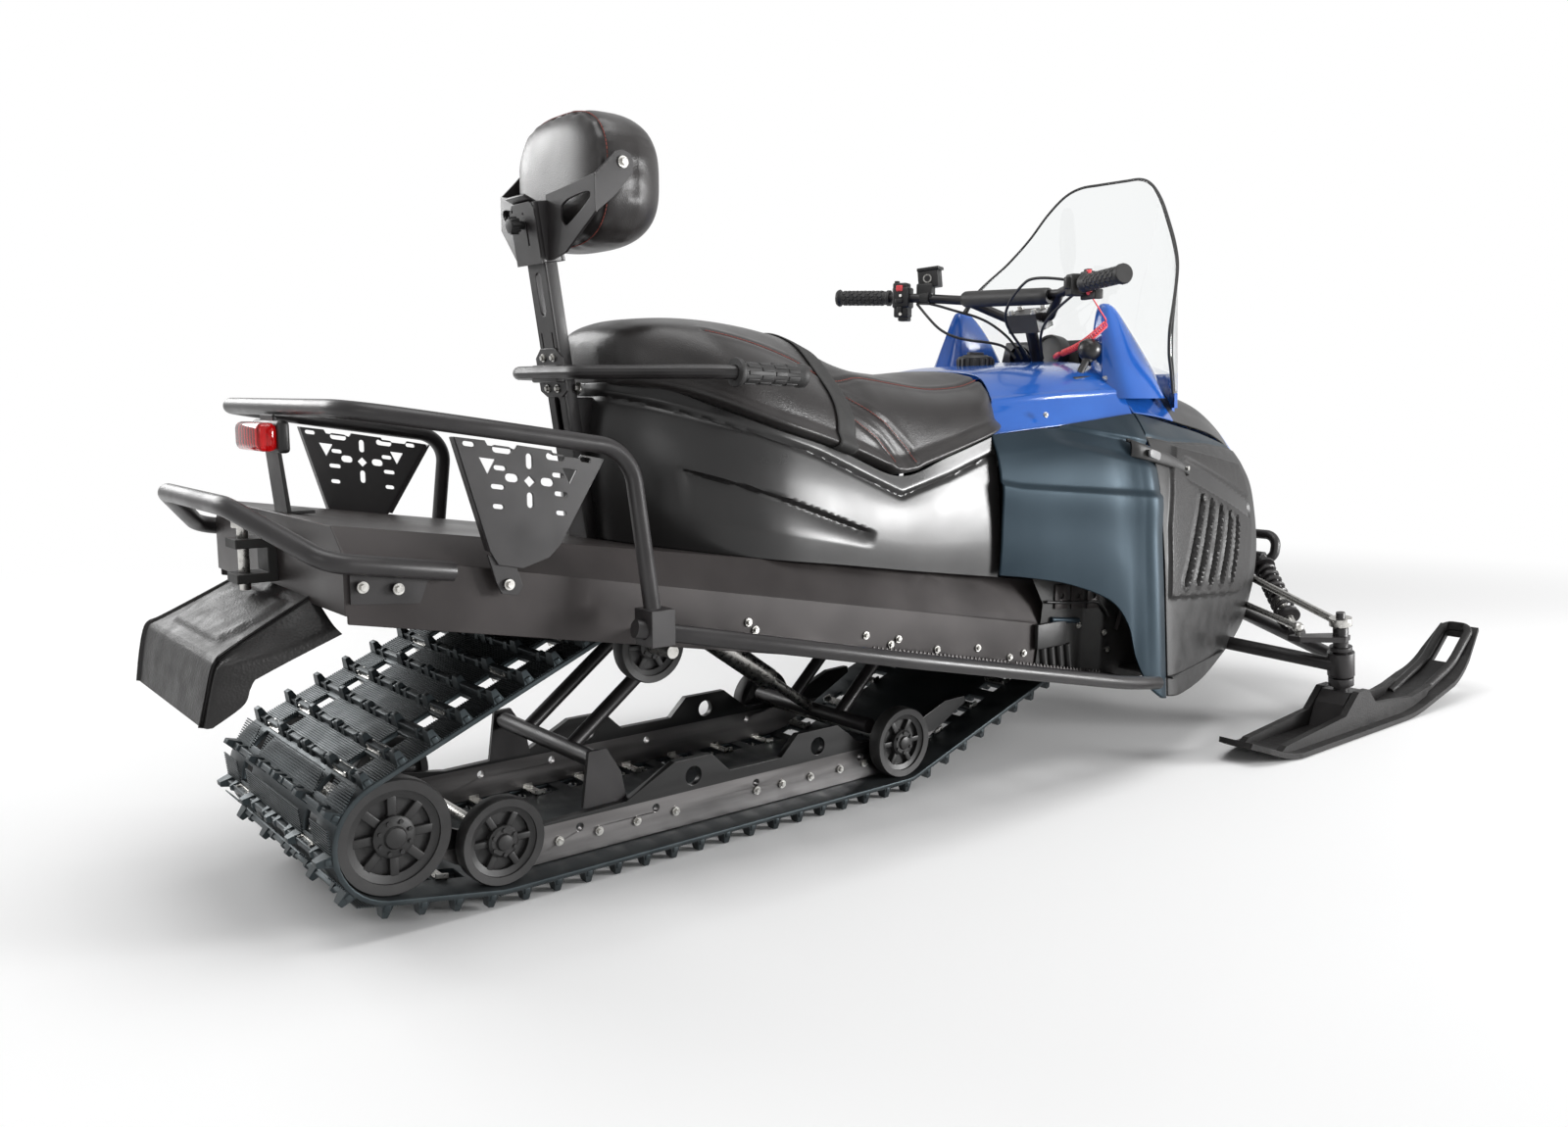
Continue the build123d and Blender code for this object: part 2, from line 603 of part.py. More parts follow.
top_rows = [
    {"x": 1643, "edge": (15, 747), "crown": (-48, 800), "mid": 822},
    {"x": 1900, "edge": (-36, 716), "crown": (-98, 790), "mid": 815},
    {"x": 2120, "edge": (-86, 680), "crown": (-138, 752), "mid": 774},
    {"x": 2330, "edge": (-138, 606), "crown": (-178, 650), "mid": 664},
    {"x": 2400, "edge": (-158, 548), "crown": (-194, 566), "mid": 572},
]
hood_sections = []
fill_sections = []
for row in top_rows:
    outer = [right(row["edge"]), right(row["crown"]), (0, row["mid"])]
    outer = outer + [(-y, z) for y, z in reversed(outer[:2])]
    inner = [(y * 0.985, z - SKIN - 1) for y, z in reversed(outer)]
    hood_sections.append((row["x"], outer + inner))
    fill_sections.append((row["x"], outer + [(outer[-1][0], 480), (outer[0][0], 480)]))
hood = loft_x(hood_sections)
hood_fill = loft_x(fill_sections)
axis_dir = (-math.sin(math.radians(STEER_RAKE)), 0, math.cos(math.radians(STEER_RAKE)))
column_low = tuple(p - 300 * d for p, d in zip((STEER_X, 0, STEER_Z), axis_dir))
column_high = tuple(p + 16 * d for p, d in zip((STEER_X, 0, STEER_Z), axis_dir))
hood = hood - rod(column_low, column_high, 29.2)
keep("hood", hood)

console_rows = [
    {"x": 1262.6, "edge": (-32, 706), "brow": (-66, 776), "crown": (-158, 826), "mid": 832},
    {"x": 1640, "edge": (15, 746), "brow": (-36, 800), "crown": (-138, 852), "mid": 858},
]
console_sections = []
for row in console_rows:
    half = [right(row["edge"]), right(row["brow"]), right(row["crown"])]
    outer = half + [(0, row["mid"])] + [(-y, z) for y, z in reversed(half)]
    inner = [(y * 0.98, z - SKIN - 1) for y, z in reversed(outer)]
    console_sections.append((row["x"], outer + inner))
console = loft_x(console_sections)
keep("console", console)
console_fill = loft_x([(x, points[:7]) for x, points in console_sections])

# dash cowl: two fins that lean in from the hood, joined ahead of the steering column
COWL_Y = TUNNEL_SIDE_Y
cowl_rows = [
    {"z": 775, "rear": (1602, COWL_Y - 30), "side": (1650, COWL_Y + 14),
     "fore": (1772, COWL_Y + 8), "front": (1888, COWL_Y - 108)},
    {"z": 982, "rear": (1652, COWL_Y - 92), "side": (1662, COWL_Y - 72),
     "fore": (1694, COWL_Y - 74), "front": (1716, COWL_Y - 102)},
]
cowl_faces = []
for row in cowl_rows:
    half = [(row[n][0], -row[n][1]) for n in ("rear", "side", "fore", "front")]
    outline = half + [(x, -y) for x, y in reversed(half)]
    cowl_faces.append(Plane.XY.offset(row["z"]) * flat(outline))
cowl = loft(cowl_faces, ruled=True) - block(1560, 1772, -92, 92, 700, 1100) - hood_fill - console_fill
cowl = cowl - slab([(1560, 1010), (1560, 930), (1760, 930), (1790, 1010)], -150, 150)
cowl = cowl - block(1560, 1652, 94 - COWL_Y, COWL_Y - 94, 700, 1100)
keep("dash_cowl", cowl)

cap = Pos(1470, 0, 850) * Cylinder(44, 44)
keep("fuel_cap", cap - console_fill)
gauge = rod((1771.6, 0, 880), (1742, 0, 884), 84)
keep("gauge", gauge - cowl)
LEVER_Y = 76.0 - TUNNEL_SIDE_Y
lever = rod((1560, LEVER_Y, 815), (1592, LEVER_Y, 868), 12)
lever = lever + Pos(1596, LEVER_Y, 878) * Sphere(20) + Pos(1556, LEVER_Y, 818) * Box(70, 46, 16)
keep("shift_lever", lever - console_fill)

# windshield: sheet curved in plan, trimmed in the front view
GLASS = 4.0
SHIELD_LEAN = 0.075
SHIELD_Y = TUNNEL_SIDE_Y + 37.0
shield_plan = [(1708, -SHIELD_Y), (2010, 0), (1708, SHIELD_Y)]


def shield_wall(thick, z0, z1):
    rest = [(x - SHIELD_LEAN * (z0 - 800), y) for x, y in shield_plan]
    outer = ThreePointArc(*rest)
    inner_pts = [(x - thick, y) for x, y in rest]
    inner = ThreePointArc(*inner_pts)
    ends = [Line(outer @ 0, inner @ 0), Line(outer @ 1, inner @ 1)]
    face = make_face([outer, inner] + ends)
    return extrude(Plane.XY.offset(z0) * face, amount=z1 - z0, dir=(-SHIELD_LEAN, 0, 1))


shield_half = [
    (13 - SHIELD_Y, 832), (35 - SHIELD_Y, 905), (47 - SHIELD_Y, 1034),
    (135 - SHIELD_Y, 1250), (230 - SHIELD_Y, 1300),
]
at = Plane(origin=(1500, 0, 0), x_dir=(0, 1, 0), z_dir=(1, 0, 0))
glass = shield_wall(GLASS, 800, 1320) & extrude(at * flat(full(shield_half)), amount=700)
keep("windshield", glass)
skirt = shield_wall(12, 700, 831.6) - hood_fill
skirt = skirt - both(block(1600, 2100, -600, 45 - SHIELD_Y, 600, 900))
skirt = skirt - both(block(1600, 2100, -600, 95 - SHIELD_Y, 600, 752))
keep("windshield_seat", skirt - cowl)

lamp = slab([(2392, 452), (2392, 545), (2410, 540), (2416, 470), (2406, 452)], -120, 120)
keep("headlight", lamp)

engine = block(1640.4, 2002.6, -230, 230, 181.3, 610)
keep("engine", engine)
frame_line = [
    (2003, 182), (2003, 560), (2150, 560), (2391.6, 540),
    (2391.6, 440), (2412, 430), (2412, 300), (2396, 182),
]
frame = slab(frame_line, -150, 150) - block(2222, 2330, -160, 160, 226, 308)
keep("front_frame", frame)
nudge_half = [(2408, -120, 330), (2442, -215, 345), (2452, -215, 408)]
nudge = tube(whole(nudge_half), [28, 30, 30, 28], 25)
keep("front_bumper", nudge - frame)

# front suspension: single wishbone with the spindle sleeve, upper link, coil-over
rake = math.radians(KINGPIN_RAKE)
pin_dir = (-math.sin(rake), 0, math.cos(rake))


def on_pin(h):
    return (KINGPIN_X + h * pin_dir[0], -SKI_Y + h * pin_dir[1], KINGPIN_Z + h * pin_dir[2])


SLEEVE_FOOT = 62.0
SLEEVE_REACH = 56.0
ARM_RISE = 34.0
LINK_RISE = 40.0
SLEEVE_H = (SLEEVE_FOOT, SLEEVE_FOOT + SLEEVE_REACH)
ARM_H = SLEEVE_H[1] + ARM_RISE
LINK_H = ARM_H + LINK_RISE
wishbone = rod(on_pin(SLEEVE_H[0]), on_pin(SLEEVE_H[1]), 60)
mid = on_pin((SLEEVE_H[0] + SLEEVE_H[1]) / 2)
wishbone = wishbone + rod((2030, -150, 196), (mid[0] - 12, mid[1], mid[2] - 4), 32)
wishbone = wishbone + rod((2380, -150, 206), (mid[0] + 12, mid[1], mid[2] + 4), 32)
wishbone = wishbone - rod(on_pin(40), on_pin(200), 2 * SPINDLE_R + 1.2)
keep("wishbones", both(wishbone - frame))
top = on_pin(LINK_H)
link = rod((2304, -150, 340), (top[0] + 10, top[1] + 22, top[2]), 18)
link = link + rod(on_pin(LINK_H - 9), on_pin(LINK_H + 9), 50)
link = link - rod(on_pin(LINK_H - 40), on_pin(LINK_H + 40), 21)
keep("upper_links", both(link - frame))
coil_low = (2253, -392, 190)
coil_high = (2392, -200, 352)
coil = rod(coil_low, coil_high, 24)
reach = [b - a for a, b in zip(coil_low, coil_high)]
lift = tuple(a + 0.22 * r for a, r in zip(coil_low, reach))
stop = tuple(a + 0.86 * r for a, r in zip(coil_low, reach))
coil = coil + rod(lift, stop, 52) + rod((2392, -150, 352), (2392, -210, 352), 20)
keep("front_shocks", both(coil - frame - wishbone))

# spindles, skis and tie rods
spindle = rod(on_pin(4), on_pin(LINK_H - 14), 2 * SPINDLE_R)
spindle = spindle + rod(on_pin(LINK_H - 16), on_pin(LINK_H + 22), 20)
spindle = spindle + rod(on_pin(38), on_pin(SLEEVE_H[0] - 5), 56)
spindle = spindle + rod(on_pin(SLEEVE_H[1] + 5), on_pin(SLEEVE_H[1] + 14), 50)
neck = on_pin(ARM_H)
ball = (2068, -SKI_Y + 62, neck[2])
arm_line = [
    (neck[0] - 20, -SKI_Y - 22), (neck[0] + 22, -SKI_Y - 12), (neck[0] + 20, -SKI_Y + 24),
    (ball[0] + 16, ball[1] + 16), (ball[0] - 16, ball[1] + 16), (ball[0] - 16, ball[1] - 14),
]
spindle = spindle + plate(arm_line, ball[2] - 6, ball[2] + 6)
saddle_line = [(2086, 14.3), (2260, 14.3), (2226, 72), (2196, 96), (2140, 96), (2112, 70)]
spindle = spindle + slab(saddle_line, -SKI_Y - 34, -SKI_Y + 34)
keep("spindle_right", spindle)
keep("spindle_left", mirror(spindle, about=Plane.XZ))

SKI_TIP = (2800.0, 168.0)
ski_path = FilletPolyline((1712, 48), (1830, 8), (2400, 8), (2676, 68), SKI_TIP, radius=[260, 520, 240])
ski_at = Plane(origin=(0, -SKI_Y, 0), x_dir=(1, 0, 0), z_dir=(0, -1, 0))
path = ski_at * ski_path
start = Plane(origin=path @ 0, x_dir=(0, 1, 0), z_dir=path % 0)
sole = sweep(start * Rectangle(2 * SKI_HALF, SKI_T), path=path)
plan_line = [(1700, 34), (1760, 56), (1860, SKI_HALF), (2610, SKI_HALF), (2720, 62), (2830, 42)]
plan_face = [(x, -SKI_Y - y) for x, y in plan_line] + [(x, -SKI_Y + y) for x, y in reversed(plan_line)]
sole = sole & plate(plan_face, -50, 400)
rib_line = [
    (1800, 14), (1830, 30), (2090, 52), (2146, 100), (2192, 100),
    (2236, 60), (2420, 46), (2530, 60), (2500, 34), (2390, 12),
]
for y in (-52.0, 36.6):
    sole = sole + slab(rib_line, -SKI_Y + y, -SKI_Y + y + 15)
loop_half = [(2490, -34, 32), (2676, -34, 88), (2782, -34, 172)]
grab_loop = tube(whole(loop_half), [200, 24, 24, 200], 22)
sole = sole + Pos(0, -SKI_Y, 0) * grab_loop
window = block(2690, 2778, -SKI_Y - 20, -SKI_Y + 20, 40, 300)
keel = slab([(1900, 0), (2340, 0), (2400, 4), (1850, 4)], -SKI_Y - 8, -SKI_Y + 8)
sole = sole - window + keel
keep("ski_right", sole)
keep("ski_left", mirror(sole, about=Plane.XZ))

knuckle = tuple(p + 26 * d for p, d in zip(ball, pin_dir))
stud_foot = tuple(p + 7.6 * d for p, d in zip(ball, pin_dir))
tie = rod(knuckle, (2262, -172, 266), 16) + Pos(*knuckle) * Sphere(13) + rod(stud_foot, knuckle, 12)
keep("tie_rod_right", tie)
keep("tie_rod_left", mirror(tie, about=Plane.XZ))

# steering: column, clamp, bar with cross pad, grips, controls
clamp = Pos(STEER_X, 0, STEER_Z) * Rot(0, -STEER_RAKE, 0) * Box(54, 90, 44)
keep("steering_column", rod(column_low, column_high, 28) + clamp)
bar_half = [(1446, -416, 1020), (1535, -236, 1014), (1600, -140, 1006), (STEER_X, -62, STEER_Z + 6)]
bars = tube(whole(bar_half), [60, 60, 30, 30, 60, 60], 22)
brace = ((1590, -150, 1007), (1590, 150, 1007))
keep("handlebar", bars + rod(*brace, 16) - clamp)
bar_end = rod(bar_half[0], bar_half[1], 22.6)
grip = rod((1444, -420, 1020.1), (1504, -299, 1016.1), 34) - bar_end
keep("bar_grips", both(grip))
keep("bar_pad", block(1566, 1614, -98, 98, 990, 1034) - rod(*brace, 16.6))
pod = rod((1508, -291, 1015.8), (1530, -246, 1014.3), 44)
thumb = pod + rod((1528, -272, 1004), (1496, -338, 984), 10) - bar_end
lever = rod((1528, 252, 1018), (1566, 262, 1020), 18) + rod((1566, 262, 1020), (1508, 404, 1022), 9)
brake = mirror(pod, about=Plane.XZ) + lever - mirror(bar_end, about=Plane.XZ)
keep("bar_controls", Compound(children=[thumb, brake]))

os.makedirs("parts", exist_ok=True)
for name, shape in nodes.items():
    export_step(Pos(-ORIGIN_X, 0, 0) * shape, f"parts/{name}.step")
print(len(nodes), "nodes")
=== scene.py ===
import bpy
import bmesh
import math
from mathutils import Matrix, Vector, kdtree


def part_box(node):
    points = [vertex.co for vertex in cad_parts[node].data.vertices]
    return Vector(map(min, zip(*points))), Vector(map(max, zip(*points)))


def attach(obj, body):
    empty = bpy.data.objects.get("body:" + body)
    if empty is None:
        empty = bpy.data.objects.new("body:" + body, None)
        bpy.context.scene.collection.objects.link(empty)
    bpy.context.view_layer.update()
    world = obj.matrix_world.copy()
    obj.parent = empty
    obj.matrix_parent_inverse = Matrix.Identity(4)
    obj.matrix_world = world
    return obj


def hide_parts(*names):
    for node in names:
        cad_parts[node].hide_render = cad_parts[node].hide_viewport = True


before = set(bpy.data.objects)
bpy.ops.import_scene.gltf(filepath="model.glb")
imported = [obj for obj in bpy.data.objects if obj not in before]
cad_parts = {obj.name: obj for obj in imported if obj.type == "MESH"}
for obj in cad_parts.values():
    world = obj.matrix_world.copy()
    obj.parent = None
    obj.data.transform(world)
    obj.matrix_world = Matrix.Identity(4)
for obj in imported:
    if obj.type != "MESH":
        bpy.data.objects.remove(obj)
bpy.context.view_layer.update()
scene = bpy.context.scene
scene.view_settings.view_transform = "Standard"

idlerRadius = 0.088
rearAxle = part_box("track_wheels")[0][0] + idlerRadius
toFrame = Vector((rearAxle, 0, 0))  # all pieces are measured from the rear idler axle
print("frame loaded,", len(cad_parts), "nodes")

# camera and studio
photoCamera = {
    "place": (-0.658, -1.931, 0.790), "yaw": 50.70, "pitch": -7.90, "focal": 1265.0, "frameWidth": 1600,
    "sensorWidth": 36.0, "clipEnd": 60,
}
studio = {
    "daylight": 0.40, "mirrorLight": 0.55, "floorTone": 0.93, "floorReach": 14.0, "fadeStart": 2.0,
    "fadeEnd": 4.6,
    "floorSides": 64, "floorRough": 0.9,
    "lamps": {
        "frontRightBox": {"place": (4.3, -3.7, 0.95), "aim": (1.0, -0.28, 0.55), "size": (1.6, 1.1),
                          "watts": 250},
        "overheadBox": {"place": (0.4, -0.6, 4.2), "aim": (0.5, 0, 0.6), "size": (3.2, 2.2), "watts": 80},
        "leftSkyBox": {"place": (-1.3, 4.1, 2.5), "aim": (0.1, 0, 0.75), "size": (3.2, 1.6), "watts": 120},
        "rearBox": {"place": (-3.6, -2.6, 1.9), "aim": (0.2, 0, 0.6), "size": (1.4, 1.2), "watts": 14},
    },
}


def setCamera(p):
    yaw = math.radians(p["yaw"])
    pitch = math.radians(p["pitch"])
    ahead = Vector((math.cos(yaw) * math.cos(pitch), math.sin(yaw) * math.cos(pitch), math.sin(pitch)))
    right = Vector((math.sin(yaw), -math.cos(yaw), 0))
    turn = Matrix((right, right.cross(ahead), -ahead)).transposed().to_4x4()
    data = bpy.data.cameras.new("photoCamera")
    data.sensor_fit = "HORIZONTAL"
    data.sensor_width = p["sensorWidth"]
    data.lens = p["focal"] / p["frameWidth"] * data.sensor_width
    data.clip_end = p["clipEnd"]
    camera = bpy.data.objects.new("photoCamera", data)
    camera.matrix_world = Matrix.Translation(Vector(p["place"]) + toFrame) @ turn
    scene.collection.objects.link(camera)
    scene.camera = camera


def mathNode(nodes, operation):
    node = nodes.new("ShaderNodeMath")
    node.operation = operation
    return node


def litRays(nodes, links):
    # camera and clear rays see the plain white background, mirror rays a dimmer one
    path = nodes.new("ShaderNodeLightPath")
    mirrored = mathNode(nodes, "MULTIPLY")
    mirrored.inputs[1].default_value = studio["mirrorLight"]
    links.new(path.outputs["Is Glossy Ray"], mirrored.inputs[0])
    first = mathNode(nodes, "ADD")
    links.new(path.outputs["Is Camera Ray"], first.inputs[0])
    links.new(mirrored.outputs[0], first.inputs[1])
    both = mathNode(nodes, "ADD")
    both.use_clamp = True
    links.new(first.outputs[0], both.inputs[0])
    links.new(path.outputs["Is Transmission Ray"], both.inputs[1])
    return both.outputs[0]


def setStudio(s):
    world = bpy.data.worlds.new("studioWorld")
    world.use_nodes = True
    nodes = world.node_tree.nodes
    links = world.node_tree.links
    level = nodes.new("ShaderNodeMapRange")
    level.inputs["To Min"].default_value = s["daylight"]
    level.inputs["To Max"].default_value = 1.0
    links.new(litRays(nodes, links), level.inputs["Value"])
    links.new(level.outputs["Result"], nodes["Background"].inputs["Strength"])
    nodes["Background"].inputs["Color"].default_value = (1, 1, 1, 1)
    scene.world = world
    for name, lamp in s["lamps"].items():
        data = bpy.data.lights.new(name, "AREA")
        data.shape = "RECTANGLE"
        data.size, data.size_y = lamp["size"]
        data.energy = lamp["watts"]
        box = bpy.data.objects.new(name, data)
        place = Vector(lamp["place"]) + toFrame
        facing = (Vector(lamp["aim"]) + toFrame - place).to_track_quat("-Z", "Y")
        box.matrix_world = Matrix.Translation(place) @ facing.to_matrix().to_4x4()
        scene.collection.objects.link(box)


def makeFloor(s):
    draft = bmesh.new()
    bmesh.ops.create_circle(draft, cap_ends=True, segments=s["floorSides"], radius=s["floorReach"])
    mesh = bpy.data.meshes.new("floor")
    draft.to_mesh(mesh)
    draft.free()
    floor = bpy.data.objects.new("floor", mesh)
    scene.collection.objects.link(floor)
    paint = bpy.data.materials.new("paleFloor")
    paint.use_nodes = True
    nodes = paint.node_tree.nodes
    links = paint.node_tree.links
    shader = nodes["Principled BSDF"]
    shader.inputs["Base Color"].default_value = (s["floorTone"], s["floorTone"], s["floorTone"], 1)
    shader.inputs["Roughness"].default_value = s["floorRough"]
    shader.inputs["Specular IOR Level"].default_value = 0.0
    coords = nodes.new("ShaderNodeTexCoord")
    far = nodes.new("ShaderNodeVectorMath")
    far.operation = "LENGTH"
    links.new(coords.outputs["Object"], far.inputs[0])
    fade = nodes.new("ShaderNodeMapRange")  # the floor goes over into the white background
    fade.interpolation_type = "SMOOTHSTEP"
    fade.inputs["From Min"].default_value = s["fadeStart"]
    fade.inputs["From Max"].default_value = s["fadeEnd"]
    links.new(far.outputs["Value"], fade.inputs["Value"])
    share = mathNode(nodes, "MULTIPLY")
    links.new(fade.outputs["Result"], share.inputs[0])
    links.new(litRays(nodes, links), share.inputs[1])
    glow = nodes.new("ShaderNodeEmission")
    mix = nodes.new("ShaderNodeMixShader")
    links.new(share.outputs[0], mix.inputs[0])
    links.new(shader.outputs[0], mix.inputs[1])
    links.new(glow.outputs[0], mix.inputs[2])
    links.new(mix.outputs[0], nodes["Material Output"].inputs["Surface"])
    mesh.materials.append(paint)


setCamera(photoCamera)
setStudio(studio)
makeFloor(studio)
print("camera and studio set")

# finishes: tones are linear colours, patch and grain are pattern sizes per metre, depth is in metres
finishLooks = {
    "glossBlue": {"tones": ((0.012, 0.085, 0.37), (0.016, 0.105, 0.43)), "patch": 9, "rough": (0.16, 0.24),
                  "grain": 900, "depth": 0.00004, "Coat Weight": 0.5, "Coat Roughness": 0.08},
    "satinCover": {"tones": ((0.010, 0.0096, 0.0098), (0.016, 0.0152, 0.0150)), "patch": 7,
                   "rough": (0.26, 0.36), "grain": 1500, "depth": 0.00005},
    "slateCover": {"tones": ((0.0085, 0.0140, 0.0190), (0.0120, 0.0190, 0.0255)), "patch": 6,
                   "rough": (0.36, 0.48), "grain": 1500, "depth": 0.00006,
                   "Specular Tint": (0.34, 0.52, 0.66, 1)},
    "grainPlastic": {"tones": ((0.009, 0.0083, 0.0082), (0.016, 0.0148, 0.0146)), "patch": 30,
                     "rough": (0.40, 0.58), "grain": 300, "depth": 0.00060, "cells": True,
                     "Specular IOR Level": 0.36},
    "plainPlastic": {"tones": ((0.009, 0.0088, 0.0088), (0.016, 0.0153, 0.0153)), "patch": 22,
                     "rough": (0.36, 0.52), "grain": 1100, "depth": 0.00012},
    "powderSteel": {"tones": ((0.013, 0.0115, 0.0120), (0.022, 0.0198, 0.0204)), "patch": 16,
                    "rough": (0.30, 0.44), "grain": 1600, "depth": 0.00010},
    "coatedSheet": {"tones": ((0.024, 0.0200, 0.0195), (0.036, 0.0305, 0.0298)), "patch": 8,
                    "rough": (0.30, 0.42), "grain": 1400, "depth": 0.00007, "Metallic": 0.35},
    "treadRubber": {"tones": ((0.012, 0.013, 0.014), (0.028, 0.030, 0.031)), "patch": 26,
                    "rough": (0.34, 0.52), "grain": 700, "depth": 0.00016,
                    "Specular Tint": (0.72, 0.92, 1.0, 1)},
    "softRubber": {"tones": ((0.015, 0.0145, 0.0145), (0.026, 0.025, 0.025)), "patch": 40,
                   "rough": (0.45, 0.60), "grain": 1300, "depth": 0.0001},
    "vinyl": {"tones": ((0.012, 0.0102, 0.0100), (0.021, 0.0182, 0.0176)), "patch": 12, "rough": (0.28, 0.42),
              "grain": 620, "depth": 0.00030, "cells": True, "Sheen Weight": 0.05},
    "zincSteel": {"tones": ((0.44, 0.43, 0.41), (0.66, 0.65, 0.62)), "patch": 120, "rough": (0.22, 0.40),
                  "grain": 900, "depth": 0.00005, "Metallic": 1.0},
    "railSplit": {"tones": ((0.13, 0.125, 0.124), (0.22, 0.212, 0.210)), "patch": 40, "rough": (0.30, 0.46),
                  "grain": 260, "depth": 0.00005, "Metallic": 1.0, "stretch": (0.08, 1, 1)},
    "greyPlate": {"tones": ((0.20, 0.20, 0.205), (0.27, 0.27, 0.275)), "patch": 60, "rough": (0.40, 0.55),
                  "grain": 900, "depth": 0.00005},
    "darkIron": {"tones": ((0.010, 0.0098, 0.0095), (0.022, 0.021, 0.020)), "patch": 18,
                 "rough": (0.50, 0.72), "grain": 300, "depth": 0.00030},
    "redCord": {"tones": ((0.80, 0.060, 0.075), (0.92, 0.110, 0.120)), "patch": 60, "rough": (0.30, 0.42),
                "grain": 900, "depth": 0.00005},
    "stitchThread": {"tones": ((0.16, 0.030, 0.022), (0.26, 0.055, 0.040)), "patch": 300, "rough": (0.6, 0.8),
                     "grain": 2500, "depth": 0.00010},
    "strapWebbing": {"tones": ((0.013, 0.013, 0.013), (0.028, 0.027, 0.026)), "patch": 60,
                     "rough": (0.6, 0.8), "grain": 900, "depth": 0.00030, "stretch": (1, 1, 0.25)},
}


def makeFinish(name, look):
    mat = bpy.data.materials.new(name)
    mat.use_nodes = True
    nodes = mat.node_tree.nodes
    links = mat.node_tree.links
    shader = nodes["Principled BSDF"]
    coords = nodes.new("ShaderNodeTexCoord")
    spread = nodes.new("ShaderNodeMapping")
    spread.inputs["Scale"].default_value = look.get("stretch", (1, 1, 1))
    links.new(coords.outputs["Object"], spread.inputs["Vector"])
    cloud = nodes.new("ShaderNodeTexNoise")
    cloud.inputs["Scale"].default_value = look["patch"]
    cloud.inputs["Detail"].default_value = 5
    links.new(spread.outputs["Vector"], cloud.inputs["Vector"])
    ramp = nodes.new("ShaderNodeValToRGB")
    ramp.color_ramp.elements[0].position = 0.30
    ramp.color_ramp.elements[0].color = (*look["tones"][0], 1)
    ramp.color_ramp.elements[1].position = 0.70
    ramp.color_ramp.elements[1].color = (*look["tones"][1], 1)
    links.new(cloud.outputs["Fac"], ramp.inputs["Fac"])
    links.new(ramp.outputs["Color"], shader.inputs["Base Color"])
    sheen = nodes.new("ShaderNodeMapRange")
    sheen.inputs["From Min"].default_value = 0.3
    sheen.inputs["From Max"].default_value = 0.7
    sheen.inputs["To Min"].default_value = look["rough"][0]
    sheen.inputs["To Max"].default_value = look["rough"][1]
    links.new(cloud.outputs["Fac"], sheen.inputs["Value"])
    links.new(sheen.outputs["Result"], shader.inputs["Roughness"])
    if look.get("cells"):
        pores = nodes.new("ShaderNodeTexVoronoi")
        pores.feature = "SMOOTH_F1"
        height = pores.outputs["Distance"]
    else:
        pores = nodes.new("ShaderNodeTexNoise")
        pores.inputs["Detail"].default_value = 3
        height = pores.outputs["Fac"]
    pores.inputs["Scale"].default_value = look["grain"]
    links.new(spread.outputs["Vector"], pores.inputs["Vector"])
    bump = nodes.new("ShaderNodeBump")
    bump.inputs["Strength"].default_value = 1.0
    bump.inputs["Distance"].default_value = look["depth"]
    links.new(height, bump.inputs["Height"])
    links.new(bump.outputs["Normal"], shader.inputs["Normal"])
    for socket in ("Metallic", "Coat Weight", "Coat Roughness", "Sheen Weight", "Specular Tint",
                   "Specular IOR Level"):
        if socket in look:
            shader.inputs[socket].default_value = look[socket]
    return mat


finishes = {name: makeFinish(name, look) for name, look in finishLooks.items()}


def blackAbove(mat, height, tone):
    # bare alloy below a height, black coating above it
    nodes = mat.node_tree.nodes
    links = mat.node_tree.links
    shader = nodes["Principled BSDF"]
    coords = nodes.new("ShaderNodeTexCoord")
    apart = nodes.new("ShaderNodeSeparateXYZ")
    links.new(coords.outputs["Object"], apart.inputs[0])
    bare = mathNode(nodes, "LESS_THAN")
    bare.inputs[1].default_value = height
    links.new(apart.outputs["Z"], bare.inputs[0])
    mix = nodes.new("ShaderNodeMix")
    mix.data_type = "RGBA"
    mix.inputs["A"].default_value = tone
    links.new(bare.outputs[0], mix.inputs["Factor"])
    links.new(shader.inputs["Base Color"].links[0].from_socket, mix.inputs["B"])
    links.new(mix.outputs["Result"], shader.inputs["Base Color"])
    links.new(bare.outputs[0], shader.inputs["Metallic"])


railCoat = {"height": 0.092, "tone": (0.004, 0.0038, 0.0038, 1)}
blackAbove(finishes["railSplit"], railCoat["height"], railCoat["tone"])


def makeClear(name, tint, rough, grain):
    mat = makeFinish(name, {"tones": (tint, tint), "patch": 5, "rough": rough, "grain": grain,
                            "depth": 0.00002})
    shader = mat.node_tree.nodes["Principled BSDF"]
    shader.inputs["Transmission Weight"].default_value = 1.0
    shader.inputs["IOR"].default_value = 1.46
    return mat


clearLooks = {  # tint, range of roughness, grain
    "clearSheet": ((0.93, 0.945, 0.945), (0.0, 0.03), 4),
    "redLens": ((0.75, 0.02, 0.03), (0.05, 0.12), 300),
    "lampLens": ((0.93, 0.95, 0.97), (0.02, 0.06), 200),
}
for name, look in clearLooks.items():
    finishes[name] = makeClear(name, *look)
print(len(finishes), "finishes made")


# mesh helpers
def addModifiers(piece, modifiers):
    for kind, settings in modifiers:
        modifier = piece.modifiers.new(kind.lower(), kind)
        for key, value in settings.items():
            setattr(modifier, key, value)


